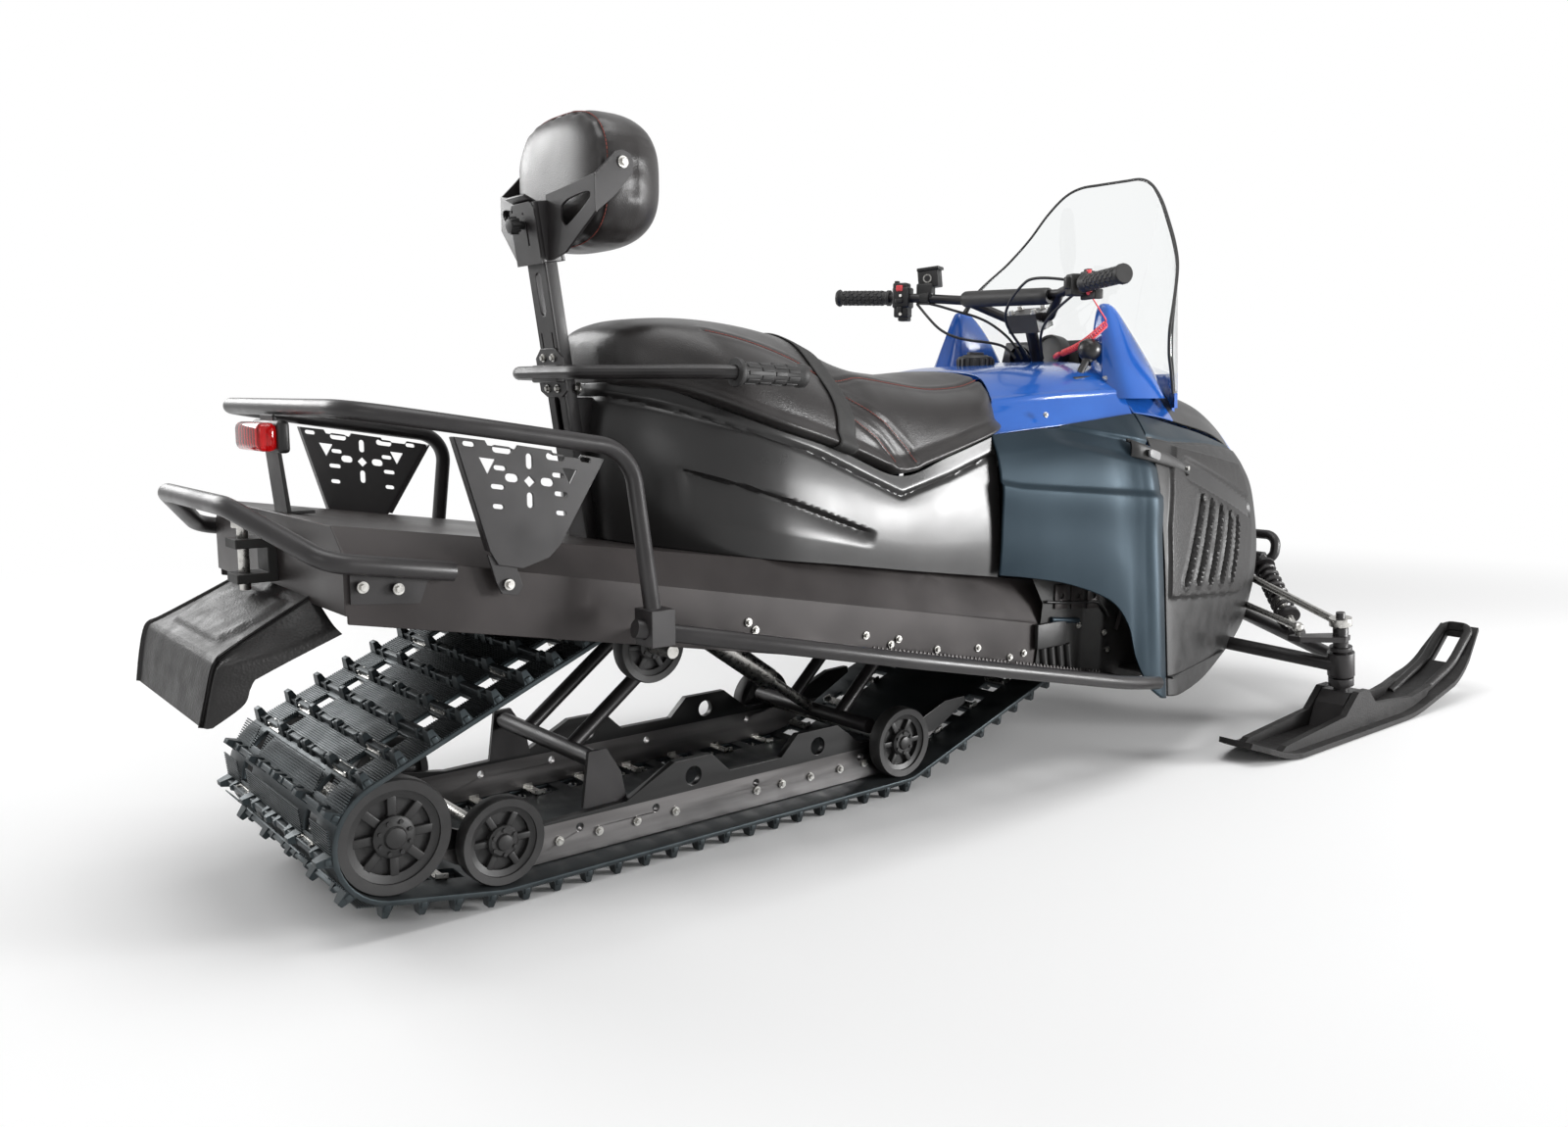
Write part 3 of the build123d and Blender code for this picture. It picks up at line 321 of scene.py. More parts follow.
def keepPiece(name, draft, body, looks, stands=(), sharp=38, modifiers=()):
    bmesh.ops.translate(draft, verts=draft.verts, vec=toFrame)
    draft.normal_update()
    limit = math.radians(sharp)
    for face in draft.faces:
        face.smooth = True
    for edge in draft.edges:
        edge.smooth = edge.calc_face_angle(0) < limit
    mesh = bpy.data.meshes.new(name)
    draft.to_mesh(mesh)
    draft.free()
    for look in looks:
        mesh.materials.append(finishes[look])
    piece = bpy.data.objects.new(name, mesh)
    scene.collection.objects.link(piece)
    addModifiers(piece, modifiers)
    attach(piece, body)
    if stands:
        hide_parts(*stands)
    return piece


leftToo = ("MIRROR", {"use_axis": (False, True, False), "use_mirror_merge": False})
bothHalves = ("MIRROR", {"use_axis": (False, True, False), "use_mirror_merge": True,
                         "merge_threshold": 0.001})
weldSeams = ("WELD", {"merge_threshold": 0.00005})
softEdge = ("BEVEL", {"width": 0.0012, "segments": 2, "limit_method": "ANGLE",
                      "angle_limit": math.radians(40)})


def wallOf(thick, offset=-1.0):
    return ("SOLIDIFY", {"thickness": thick, "offset": offset})


def dye(verts, mat):
    for vert in verts:
        for face in vert.link_faces:
            face.material_index = mat


def along(start, end):
    start = Vector(start)
    reach = Vector(end) - start
    return Matrix.Translation(start) @ reach.to_track_quat("Z", "Y").to_matrix().to_4x4(), reach.length


def addRod(draft, start, end, radius, sides=16, endRadius=None, mat=0):
    place, length = along(start, end)
    made = bmesh.ops.create_cone(draft, cap_ends=True, segments=sides, radius1=radius,
                                 radius2=radius if endRadius is None else endRadius, depth=length,
                                 matrix=place @ Matrix.Translation((0, 0, length / 2)))
    dye(made["verts"], mat)


def roundEdges(draft, edges, size, steps):
    bmesh.ops.bevel(draft, geom=edges, offset=size, segments=steps, profile=0.5, affect="EDGES", material=-1)


def addBlock(draft, centre, size, turn=None, mat=0, rounded=0.0):
    place = Matrix.Translation(centre) @ (turn or Matrix()) @ Matrix.Diagonal((*size, 1))
    made = bmesh.ops.create_cube(draft, size=1, matrix=place)
    dye(made["verts"], mat)
    if rounded:
        edges = {edge for vert in made["verts"] for edge in vert.link_edges}
        roundEdges(draft, list(edges), rounded, 3)


def addBlocks(draft, middle, blocks, turn=None):
    # blocks hold the shift from the middle, size, finish and rounding of each
    for shift, size, mat, rounded in blocks:
        addBlock(draft, middle + Vector(shift), size, turn, mat, rounded)


def addBall(draft, centre, radius):
    place = Matrix.Translation(centre)
    bmesh.ops.create_uvsphere(draft, u_segments=20, v_segments=12, radius=radius, matrix=place)


def addBolt(draft, place, axis, radius=0.0075, mat=0):
    axis = Vector(axis).normalized()
    place = Vector(place)
    addRod(draft, place - axis * 0.001, place + axis * 0.0022, radius * 1.55, 20, mat=mat)
    addRod(draft, place, place + axis * (0.0022 + radius * 0.85), radius, 6, radius * 0.93, mat)


def addTurned(draft, profile, start, end, steps=28, mat=0):
    # profile holds (radius, share of the length) pairs, turned about the line from start to end
    place, length = along(start, end)
    part = bmesh.new()
    verts = [part.verts.new((radius, 0, share * length)) for radius, share in profile]
    edges = [part.edges.new(pair) for pair in zip(verts, verts[1:])]
    bmesh.ops.spin(part, geom=verts + edges, cent=(0, 0, 0), axis=(0, 0, 1), angle=math.tau, steps=steps,
                   use_merge=True)
    bmesh.ops.remove_doubles(part, verts=part.verts, dist=0.00002)
    bmesh.ops.recalc_face_normals(part, faces=part.faces)
    join(draft, part, place, mat)


def join(draft, part, place=None, mat=None):
    if place is not None:
        bmesh.ops.transform(part, matrix=place, verts=part.verts)
    if mat is not None:
        for face in part.faces:
            face.material_index = mat
    mesh = bpy.data.meshes.new("draft")
    part.to_mesh(mesh)
    part.free()
    draft.from_mesh(mesh)
    bpy.data.meshes.remove(mesh)


def curveMesh(data):
    carrier = bpy.data.objects.new("draft", data)
    mesh = bpy.data.meshes.new_from_object(carrier)
    part = bmesh.new()
    part.from_mesh(mesh)
    bpy.data.objects.remove(carrier)
    bpy.data.curves.remove(data)
    bpy.data.meshes.remove(mesh)
    bmesh.ops.remove_doubles(part, verts=part.verts, dist=0.00001)
    return part


def lineCurve(points, radius, kind="NURBS", sides=3):
    data = bpy.data.curves.new("line", "CURVE")
    data.dimensions = "3D"
    data.bevel_depth = radius
    data.bevel_resolution = sides
    data.use_fill_caps = True
    data.resolution_u = 10
    spline = data.splines.new(kind)
    spline.points.add(len(points) - 1)
    for spot, place in zip(spline.points, points):
        spot.co = (*place, 1)
    if kind == "NURBS":
        spline.order_u = 3
        spline.use_endpoint_u = True
    return data


def addPipe(draft, points, radius, kind="NURBS", sides=3, mat=0):
    join(draft, curveMesh(lineCurve(points, radius, kind, sides)), None, mat)


def lineLength(points):
    # length of the smooth line through control points
    part = curveMesh(lineCurve(points, 0.0))
    length = sum(edge.calc_length() for edge in part.edges)
    part.free()
    return length


def keepCord(name, points, radius, body, look):
    points = [Vector(p) + toFrame for p in points]
    data = lineCurve(points, radius)
    data.name = name
    data.materials.append(finishes[look])
    piece = bpy.data.objects.new(name, data)
    scene.collection.objects.link(piece)
    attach(piece, body)
    lineLength(points)


def slotRing(x, z, width, height, steps=6):
    # a slot with round ends, wide or high
    r = min(width, height) / 2
    reach = max(width, height) / 2 - r
    ring = []
    for k in range(2 * steps + 2):
        a = math.pi * (k if k <= steps else k - 1) / steps
        side = -1 if k <= steps else 1
        if width >= height:
            ring.append((x - side * reach + r * math.sin(a), z + r * math.cos(a)))
        else:
            ring.append((x + r * math.cos(a), z - side * reach + r * math.sin(a)))
    return ring


def addPlate(draft, outline, holes, y, thick, mat=0, edge=0.0006):
    # upright plate along the machine at y, outline and holes in (x, z)
    data = bpy.data.curves.new("plate", "CURVE")
    data.dimensions = "2D"
    data.fill_mode = "BOTH"
    data.extrude = thick / 2 - edge
    data.bevel_depth = edge
    data.bevel_resolution = 1
    for ring in [outline] + holes:
        spline = data.splines.new("POLY")
        spline.points.add(len(ring) - 1)
        for spot, place in zip(spline.points, ring):
            spot.co = (*place, 0, 1)
        spline.use_cyclic_u = True
    stand = Matrix.Translation((0, y, 0)) @ Matrix.Rotation(math.pi / 2, 4, "X")
    join(draft, curveMesh(data), stand, mat)


def onPath(points, share):
    # smooth line through the points
    last = len(points) - 1
    k = min(int(share * last), last - 1)
    f = share * last - k
    p0 = points[max(k - 1, 0)]
    p1 = points[k]
    p2 = points[k + 1]
    p3 = points[min(k + 2, last)]
    square = (2 * p0 - 5 * p1 + 4 * p2 - p3) * f * f
    cube = (3 * p1 - p0 - 3 * p2 + p3) * f ** 3
    return 0.5 * (2 * p1 + (p2 - p0) * f + square + cube)


def netPoint(net, u, v):
    return onPath([onPath(row, v) for row in net], u)


def addSheet(draft, net, steps, outward, relief=None, weld=False):
    # skin stretched over a net of rows, each a list of points
    net = [[Vector(p) for p in row] for row in net]
    part = bmesh.new()
    bmesh.ops.create_grid(part, x_segments=steps[0], y_segments=steps[1], size=1)
    strips = {}
    for vert in part.verts:
        u = (vert.co.x + 1) / 2
        v = (vert.co.y + 1) / 2
        key = round(v, 5)
        if key not in strips:
            strips[key] = [onPath(row, v) for row in net]
        vert.co = onPath(strips[key], u)
    if weld:
        bmesh.ops.remove_doubles(part, verts=part.verts, dist=0.0004)
    part.normal_update()
    if sum(face.normal.dot(Vector(outward)) for face in part.faces) < 0:
        bmesh.ops.reverse_faces(part, faces=part.faces)
        part.normal_update()
    if relief:
        lifts = [(vert, vert.normal.copy(), relief(vert.co)) for vert in part.verts]
        for vert, normal, lift in lifts:
            vert.co += normal * lift
    join(draft, part, None, 0)


def onLine(line, x):
    # height of a line of (x, z) points at x
    for (x0, z0), (x1, z1) in zip(line, line[1:]):
        if x <= x1 or (x1, z1) == line[-1]:
            return z0 + (z1 - z0) * (x - x0) / (x1 - x0)


def step(low, high, value):
    t = min(max((value - low) / (high - low), 0), 1)
    return t * t * (3 - 2 * t)


# carried-over nodes get a finish each, and a small round on their edges
nodeLooks = {
    "coatedSheet": ("tunnel", "running_boards"),
    "powderSteel": ("board_bars", "cargo_hoop", "rear_bumper", "suspension_arms", "front_bumper", "wishbones",
                    "spindle_right", "spindle_left", "steering_column", "handlebar"),
    "railSplit": ("slide_rails",),
    "zincSteel": ("hitch_pin", "wheel_axles", "upper_links", "tie_rod_right", "tie_rod_left", "track_damper"),
    "darkIron": ("tow_hook", "drive_axle", "front_frame", "engine"),
    "plainPlastic": ("taillight_bracket", "belly_pan"),
    "grainPlastic": ("ski_right", "ski_left"),
    "glossBlue": ("windshield_seat",),
}
for look, names in nodeLooks.items():
    for name in names:
        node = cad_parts[name]
        node.data.materials.clear()
        node.data.materials.append(finishes[look])
        addModifiers(node, (weldSeams, softEdge))
print("carried-over nodes finished")

# seat base: black covers round the seat's foot, with a band along the rim and an arrow-shaped recess
seatCover = {
    "rows": [  # foot, low, middle, rim from the tail round to the console
        ((0.468, 0.0, 0.532), (0.460, 0.0, 0.62), (0.460, 0.0, 0.72), (0.474, 0.0, 0.804)),
        ((0.474, -0.080, 0.531), (0.466, -0.084, 0.62), (0.466, -0.078, 0.72), (0.482, -0.062, 0.804)),
        ((0.520, -0.160, 0.524), (0.514, -0.166, 0.61), (0.518, -0.158, 0.71), (0.530, -0.136, 0.799)),
        ((0.600, -0.232, 0.512), (0.598, -0.236, 0.59), (0.604, -0.228, 0.68), (0.612, -0.206, 0.760)),
        ((0.700, -0.268, 0.497), (0.700, -0.270, 0.56), (0.702, -0.262, 0.64), (0.706, -0.242, 0.724)),
        ((0.840, -0.276, 0.477), (0.840, -0.278, 0.54), (0.840, -0.270, 0.61), (0.840, -0.252, 0.684)),
        ((0.985, -0.281, 0.455), (0.985, -0.283, 0.51), (0.985, -0.278, 0.57), (0.985, -0.262, 0.632)),
        ((1.110, -0.284, 0.437), (1.110, -0.286, 0.50), (1.110, -0.280, 0.58), (1.110, -0.266, 0.664)),
        ((1.248, -0.286, 0.417), (1.248, -0.288, 0.50), (1.248, -0.282, 0.60), (1.248, -0.266, 0.704)),
    ],
    "band": [(0.45, 0.790), (0.504, 0.772), (0.795, 0.678), (0.985, 0.596), (1.110, 0.626), (1.26, 0.672)],
    "arrowTop": [(0.50, 0.672), (0.700, 0.607), (0.905, 0.533)],
    "arrowLow": [(0.50, 0.586), (0.546, 0.574), (0.905, 0.503)],
    "arrowEnds": (0.535, 0.915), "bandLift": 0.005, "arrowDepth": 0.013, "arrowPower": 1.3,
    "grooveDepth": 0.003, "grooveWidth": 0.005, "steps": (210, 70),
}


def coverRelief(p):
    c = seatCover
    rise = p.z - onLine(c["band"], p.x)
    groove = c["grooveDepth"] * math.exp(-(rise / c["grooveWidth"]) ** 2)
    lift = c["bandLift"] * step(-0.002, 0.006, rise) - groove
    top = onLine(c["arrowTop"], p.x)
    low = onLine(c["arrowLow"], p.x)
    if low < p.z < top + 0.004 and p.y < -0.1:
        start, end = c["arrowEnds"]
        ends = step(start, start + 0.02, p.x) * step(end, end - 0.03, p.x)
        share = max((p.z - low) / (top - low), 0)
        lift -= c["arrowDepth"] * ends * share ** c["arrowPower"] * step(top + 0.004, top - 0.003, p.z)
    return lift


def makeSeatCover(c):
    draft = bmesh.new()
    addSheet(draft, c["rows"], c["steps"], (0, -1, 0), coverRelief)
    keepPiece("seatCover", draft, "chassis", ["satinCover"], ["seat_base"], 42,
              [bothHalves, wallOf(0.003)])


makeSeatCover(seatCover)
print("seat cover made")

# seat: columns run from the underside over the rim, side, seam and crown to the middle line
seatForm = {
    "rows": {
        0.472: ((0.000, 0.806), (-0.030, 0.807), (-0.042, 0.824), (-0.042, 0.846), (-0.036, 0.864),
                (-0.020, 0.874), (0, 0.877)),
        0.481: ((0.000, 0.801), (-0.080, 0.802), (-0.097, 0.824), (-0.094, 0.860), (-0.076, 0.884),
                (-0.040, 0.893), (0, 0.896)),
        0.500: ((0.000, 0.798), (-0.114, 0.799), (-0.132, 0.824), (-0.128, 0.865), (-0.104, 0.893),
                (-0.055, 0.904), (0, 0.907)),
        0.540: ((0.000, 0.790), (-0.152, 0.792), (-0.168, 0.820), (-0.160, 0.866), (-0.130, 0.901),
                (-0.068, 0.914), (0, 0.917)),
        0.612: ((0.000, 0.760), (-0.204, 0.764), (-0.222, 0.796), (-0.206, 0.852), (-0.164, 0.894),
                (-0.088, 0.917), (0, 0.921)),
        0.706: ((0.000, 0.724), (-0.240, 0.728), (-0.250, 0.762), (-0.226, 0.826), (-0.170, 0.876),
                (-0.090, 0.911), (0, 0.918)),
        0.800: ((0.000, 0.698), (-0.248, 0.700), (-0.256, 0.734), (-0.230, 0.792), (-0.170, 0.848),
                (-0.092, 0.896), (0, 0.908)),
        0.880: ((0.000, 0.672), (-0.254, 0.674), (-0.261, 0.706), (-0.240, 0.756), (-0.182, 0.810),
                (-0.100, 0.871), (0, 0.896)),
        0.945: ((0.000, 0.648), (-0.258, 0.650), (-0.263, 0.684), (-0.240, 0.762), (-0.182, 0.815),
                (-0.102, 0.844), (0, 0.858)),
        0.990: ((0.000, 0.634), (-0.260, 0.636), (-0.264, 0.674), (-0.238, 0.762), (-0.178, 0.812),
                (-0.100, 0.832), (0, 0.838)),
        1.060: ((0.000, 0.648), (-0.260, 0.651), (-0.264, 0.690), (-0.236, 0.762), (-0.177, 0.803),
                (-0.100, 0.824), (0, 0.829)),
        1.150: ((0.000, 0.674), (-0.262, 0.677), (-0.265, 0.710), (-0.236, 0.764), (-0.176, 0.794),
                (-0.100, 0.818), (0, 0.824)),
        1.236: ((0.000, 0.700), (-0.262, 0.704), (-0.263, 0.732), (-0.234, 0.774), (-0.177, 0.799),
                (-0.100, 0.823), (0, 0.829)),
        1.296: ((0.000, 0.712), (-0.222, 0.716), (-0.224, 0.742), (-0.206, 0.786), (-0.168, 0.812),
                (-0.098, 0.829), (0, 0.833)),
        1.334: ((0.000, 0.720), (-0.158, 0.724), (-0.160, 0.748), (-0.150, 0.790), (-0.128, 0.813),
                (-0.078, 0.828), (0, 0.832)),
    },
    "steps": (180, 200), "seamDepth": 0.0030, "seamWidth": 0.0045, "stitch": 0.0065, "stitchThread": 0.0009,
    "seamStart": 0.285, "seamReach": 0.700, "puff": 0.0016, "puffAt": 0.012, "puffWidth": 0.007,
    "splitLines": (((0.875, 0.789), (0.961, 0.731), (1.010, 0.680), (1.019, 0.655)),
                   ((0.871, 0.747), (0.933, 0.704), (0.962, 0.672), (0.968, 0.655))),
    "strap": {"low": 0.846, "high": 0.888, "width": 0.040, "thick": 0.0022, "lift": 0.0018, "rows": 48},
}
seatNet = []
for x, half in seatForm["rows"].items():
    right = [Vector((x, y, z)) for y, z in half]
    seatNet.append(right + [Vector((p.x, -p.y, p.z)) for p in reversed(right[:-1])])
seatSeamShare = 4 / 12  # column of the seam in a row of thirteen points
seatRimShare = 1 / 12  # column of the rim
seatTopShare = 10 / 12  # from rim to rim


def seatRow(x):
    # share along the rows at a station
    low = 0
    high = 1
    for _ in range(24):
        mid = (low + high) / 2
        if netPoint(seatNet, mid, 0.5).x < x:
            low = mid
        else:
            high = mid
    return low


def seatSide(x, z):
    # point of the right side at a station and height
    u = seatRow(x)
    low = seatRimShare
    high = 0.5
    for _ in range(18):
        mid = (low + high) / 2
        if netPoint(seatNet, u, mid).z < z:
            low = mid
        else:
            high = mid
    return u, low


def seatNormal(u, v):
    here = netPoint(seatNet, u, v)
    ahead = netPoint(seatNet, min(u + 0.004, 1), v) - netPoint(seatNet, max(u - 0.004, 0), v)
    up = netPoint(seatNet, u, v + 0.004) - netPoint(seatNet, u, v - 0.004)
    normal = ahead.cross(up).normalized()
    out = here - Vector((here.x, 0, 0.76))
    return here, normal if normal.dot(out) > 0 else -normal


def runSpots(line, spacing):
    # evenly spaced spots on a polyline of vectors
    spots = []
    rest = 0.0
    for start, end in zip(line, line[1:]):
        length = (end - start).length
        t = rest
        while t < length:
            spots.append(start.lerp(end, t / length))
            t += spacing
        rest = t - length
    return spots


def addStitches(draft, line, normals, thread):
    for k in range(len(line) - 1):
        start = line[k] + normals[k] * thread * 0.6
        end = line[k + 1] + normals[k + 1] * thread * 0.6
        addRod(draft, start.lerp(end, 0.14), start.lerp(end, 0.86), thread, 5)


def makeSeat(s):
    seams = [[(s["seamStart"] + s["seamReach"] * k / 200, seatSeamShare) for k in range(201)]]
    for split in s["splitLines"]:
        path = []
        for (x0, z0), (x1, z1) in zip(split, split[1:]):
            for k in range(12):
                path.append(seatSide(x0 + (x1 - x0) * k / 12, z0 + (z1 - z0) * k / 12))
        seams.append(path)
    seamSpots = []
    threadLines = []
    for seam in seams:
        line = []
        for u, v in seam:
            here, normal = seatNormal(u, v)
            line.append((here, normal))
            seamSpots.append(here)
        threadLines.append(line)
    near = kdtree.KDTree(len(seamSpots) * 2)
    for k, spot in enumerate(seamSpots):
        near.insert(spot, 2 * k)
        near.insert(Vector((spot.x, -spot.y, spot.z)), 2 * k + 1)
    near.balance()

    def seatRelief(p):
        gap = near.find(p)[2]
        groove = s["seamDepth"] * math.exp(-(gap / s["seamWidth"]) ** 2)
        return -groove + s["puff"] * math.exp(-((gap - s["puffAt"]) / s["puffWidth"]) ** 2)

    draft = bmesh.new()
    addSheet(draft, seatNet, s["steps"], (0, 0, 1), seatRelief, weld=True)
    loose = [edge for edge in draft.edges if edge.is_boundary]
    bmesh.ops.holes_fill(draft, edges=loose, sides=0)
    bmesh.ops.recalc_face_normals(draft, faces=draft.faces)
    keepPiece("seatCushion", draft, "chassis", ["vinyl"], ["seat"], 50)
    draft = bmesh.new()
    for line in threadLines:
        dense = runSpots([p for p, _ in line], s["stitch"])
        spots = [min(line, key=lambda pair: (pair[0] - d).length) for d in dense]
        for side in (1, -1):
            flip = Vector((1, side, 1))
            addStitches(draft, [d * flip for d in dense], [n * flip for _, n in spots], s["stitchThread"])
    keepPiece("seatStitching", draft, "chassis", ["stitchThread"], sharp=80)
    draft = bmesh.new()
    strap = s["strap"]
    net = []
    for k in range(strap["rows"] + 1):
        v = seatRimShare + seatTopShare * k / strap["rows"]
        across = abs(2 * (v - seatRimShare) / seatTopShare - 1)
        x = strap["high"] + (strap["low"] - strap["high"]) * across
        row = []
        for side in (-1, 0, 1):
            here, normal = seatNormal(seatRow(x + side * strap["width"] / 2), v)
            row.append(here + normal * strap["lift"])
        net.append(row)
    addSheet(draft, net, (96, 6), (0, 0, 1))
    keepPiece("passengerStrap", draft, "chassis", ["strapWebbing"],
              modifiers=[wallOf(strap["thick"], 1.0)])


makeSeat(seatForm)
print("seat, stitching and strap made")

# backrest pad: flat at its back, domed in front, with stitched seams and a zip at the sides
backPad = {
    "middle": (0.474, 0, 1.1435), "half": (0.152, 0.114), "behind": 0.066, "ahead": 0.108, "arch": 2.9,
    "backEdge": 3.8, "frontDome": 2.4,
    "seamX": 0.431, "topSeamZ": 1.199, "zipX": 0.482, "seamDepth": 0.0028, "seamWidth": 0.0028,
    "stitch": 0.0065, "thread": 0.0009,
    "threadGap": 0.0035, "pucker": 0.0022, "puckerReach": 0.018, "skin": (128, 96),
}


def padSpot(direction):
    # point of the pad's skin in a direction from its middle
    p = backPad
    q = p["backEdge"] if direction.x < 0 else p["frontDome"]
    ring = (abs(direction.y) ** p["arch"] + abs(direction.z) ** p["arch"]) ** (1 / p["arch"])
    size = (ring ** q + abs(direction.x) ** q) ** (1 / q)
    flat = direction / size
    deep = p["behind"] if direction.x < 0 else p["ahead"]
    return Vector(p["middle"]) + Vector((flat.x * deep, flat.y * p["half"][0], flat.z * p["half"][1]))


def makeBackPad(p):
    draft = bmesh.new()
    lying = Matrix.Rotation(math.pi / 2, 4, "Y")
    bmesh.ops.create_uvsphere(draft, u_segments=p["skin"][0], v_segments=p["skin"][1], radius=1, matrix=lying)
    for vert in draft.verts:
        spot = vert.co.normalized()
        vert.co = padSpot(Vector((math.copysign(abs(spot.x) ** 0.7, spot.x), spot.y, spot.z)))
    bmesh.ops.recalc_face_normals(draft, faces=draft.faces)
    draft.normal_update()
    lifts = []
    for vert in draft.verts:
        gaps = [abs(vert.co.x - p["seamX"])]
        if abs(vert.co.y) > 0.085 and vert.co.x > p["seamX"]:
            gaps.append(abs(vert.co.z - p["topSeamZ"]))
            if vert.co.z < p["topSeamZ"]:
                gaps.append(abs(vert.co.x - p["zipX"]))
        gap = min(gaps)
        across = abs(vert.co.y / p["half"][0])
        upward = abs((vert.co.z - p["middle"][2]) / p["half"][1])
        edge = step(0.80, 0.96, (across ** 3 + upward ** 3) ** (1 / 3))
        fold = math.sin(vert.co.y * 130 + vert.co.z * 70) * math.sin(vert.co.y * 47 - vert.co.z * 113 + 0.6)
        pucker = p["pucker"] * edge * math.exp(-(gap / p["puckerReach"]) ** 2) * fold
        groove = p["seamDepth"] * edge * math.exp(-(gap / p["seamWidth"]) ** 2)
        lifts.append((vert, vert.normal.copy(), pucker - groove))
    for vert, normal, lift in lifts:
        vert.co += normal * lift
    keepPiece("backrestPad", draft, "backrest_pad", ["vinyl"], ["backrest_pad"], 60)
    draft = bmesh.new()
    line = []
    threadX = p["seamX"] + p["threadGap"]
    lean = (threadX - p["middle"][0]) / p["behind"]
    for k in range(361):
        a = math.tau * k / 360
        flat = Vector((0, math.cos(a), math.sin(a)))
        ring = (abs(flat.y) ** p["arch"] + abs(flat.z) ** p["arch"]) ** (1 / p["arch"])
        reach = (1 - abs(lean) ** p["backEdge"]) ** (1 / p["backEdge"]) / ring
        y = flat.y * reach * p["half"][0]
        z = p["middle"][2] + flat.z * reach * p["half"][1]
        line.append(Vector((threadX, y, z)))
    dense = runSpots(line, p["stitch"])
    normals = [Vector((0, d.y, d.z - p["middle"][2])).normalized() for d in dense]
    addStitches(draft, dense, normals, p["thread"])
    keepPiece("padStitching", draft, "backrest_pad", ["stitchThread"], sharp=80)


makeBackPad(backPad)
print("backrest pad made")

# side panels: smooth dark covers between seat and nose, with a channel that leads to the latch
sidePanel = {
    "rows": [
        [(1.236, -0.300, 0.424), (1.236, -0.304, 0.500), (1.236, -0.300, 0.600), (1.236, -0.289, 0.660),
         (1.236, -0.270, 0.704)],
        [(1.320, -0.326, 0.412), (1.320, -0.327, 0.500), (1.320, -0.320, 0.610), (1.320, -0.305, 0.670),
         (1.320, -0.280, 0.710)],
        [(1.405, -0.353, 0.393), (1.405, -0.350, 0.500), (1.405, -0.340, 0.620), (1.405, -0.321, 0.680),
         (1.405, -0.290, 0.718)],
        [(1.490, -0.386, 0.356), (1.488, -0.377, 0.480), (1.488, -0.362, 0.620), (1.488, -0.336, 0.690),
         (1.488, -0.300, 0.727)],
        [(1.530, -0.404, 0.302), (1.528, -0.392, 0.440), (1.528, -0.372, 0.610), (1.528, -0.344, 0.690),
         (1.528, -0.305, 0.731)],
        [(1.546, -0.414, 0.232), (1.550, -0.400, 0.420), (1.552, -0.380, 0.600), (1.552, -0.349, 0.690),
         (1.552, -0.308, 0.734)],
        [(1.572, -0.428, 0.172), (1.574, -0.410, 0.400), (1.578, -0.389, 0.600), (1.580, -0.354, 0.690),
         (1.580, -0.311, 0.737)],
        [(1.606, -0.438, 0.142), (1.604, -0.420, 0.400), (1.606, -0.397, 0.600), (1.608, -0.358, 0.690),
         (1.608, -0.315, 0.740)],
        [(1.636, -0.432, 0.134), (1.634, -0.414, 0.400), (1.636, -0.391, 0.600), (1.638, -0.354, 0.690),
         (1.640, -0.317, 0.743)],
    ],
    "ridge": [(1.10, 0.632), (1.28, 0.596), (1.66, 0.564)], "ridgeLift": 0.007, "ridgeWidths": (0.007, 0.055),
    "channelTop": [(1.36, 0.734), (1.54, 0.700), (1.69, 0.673)],
    "channelLow": [(1.36, 0.700), (1.56, 0.654), (1.69, 0.626)],
    "channelDepth": 0.007, "channelStart": (1.37, 1.43), "steps": (100, 105),
}


def sideRelief(p):
    s = sidePanel
    rise = p.z - onLine(s["ridge"], p.x)
    width = s["ridgeWidths"][0] if rise > 0 else s["ridgeWidths"][1]
    lift = s["ridgeLift"] * math.exp(-(rise / width) ** 2)
    top = onLine(s["channelTop"], p.x)
    low = onLine(s["channelLow"], p.x)
    inside = step(top + 0.004, top - 0.004, p.z) * step(low - 0.012, low + 0.012, p.z)
    return lift - s["channelDepth"] * inside * step(*s["channelStart"], p.x)


def makeSidePanel(s):
    draft = bmesh.new()
    addSheet(draft, s["rows"], s["steps"], (0, -1, 0), sideRelief)
    keepPiece("sideCovers", draft, "chassis", ["slateCover"], ["side_panels"], 45,
              [leftToo, wallOf(0.004)])


makeSidePanel(sidePanel)
print("side covers made")

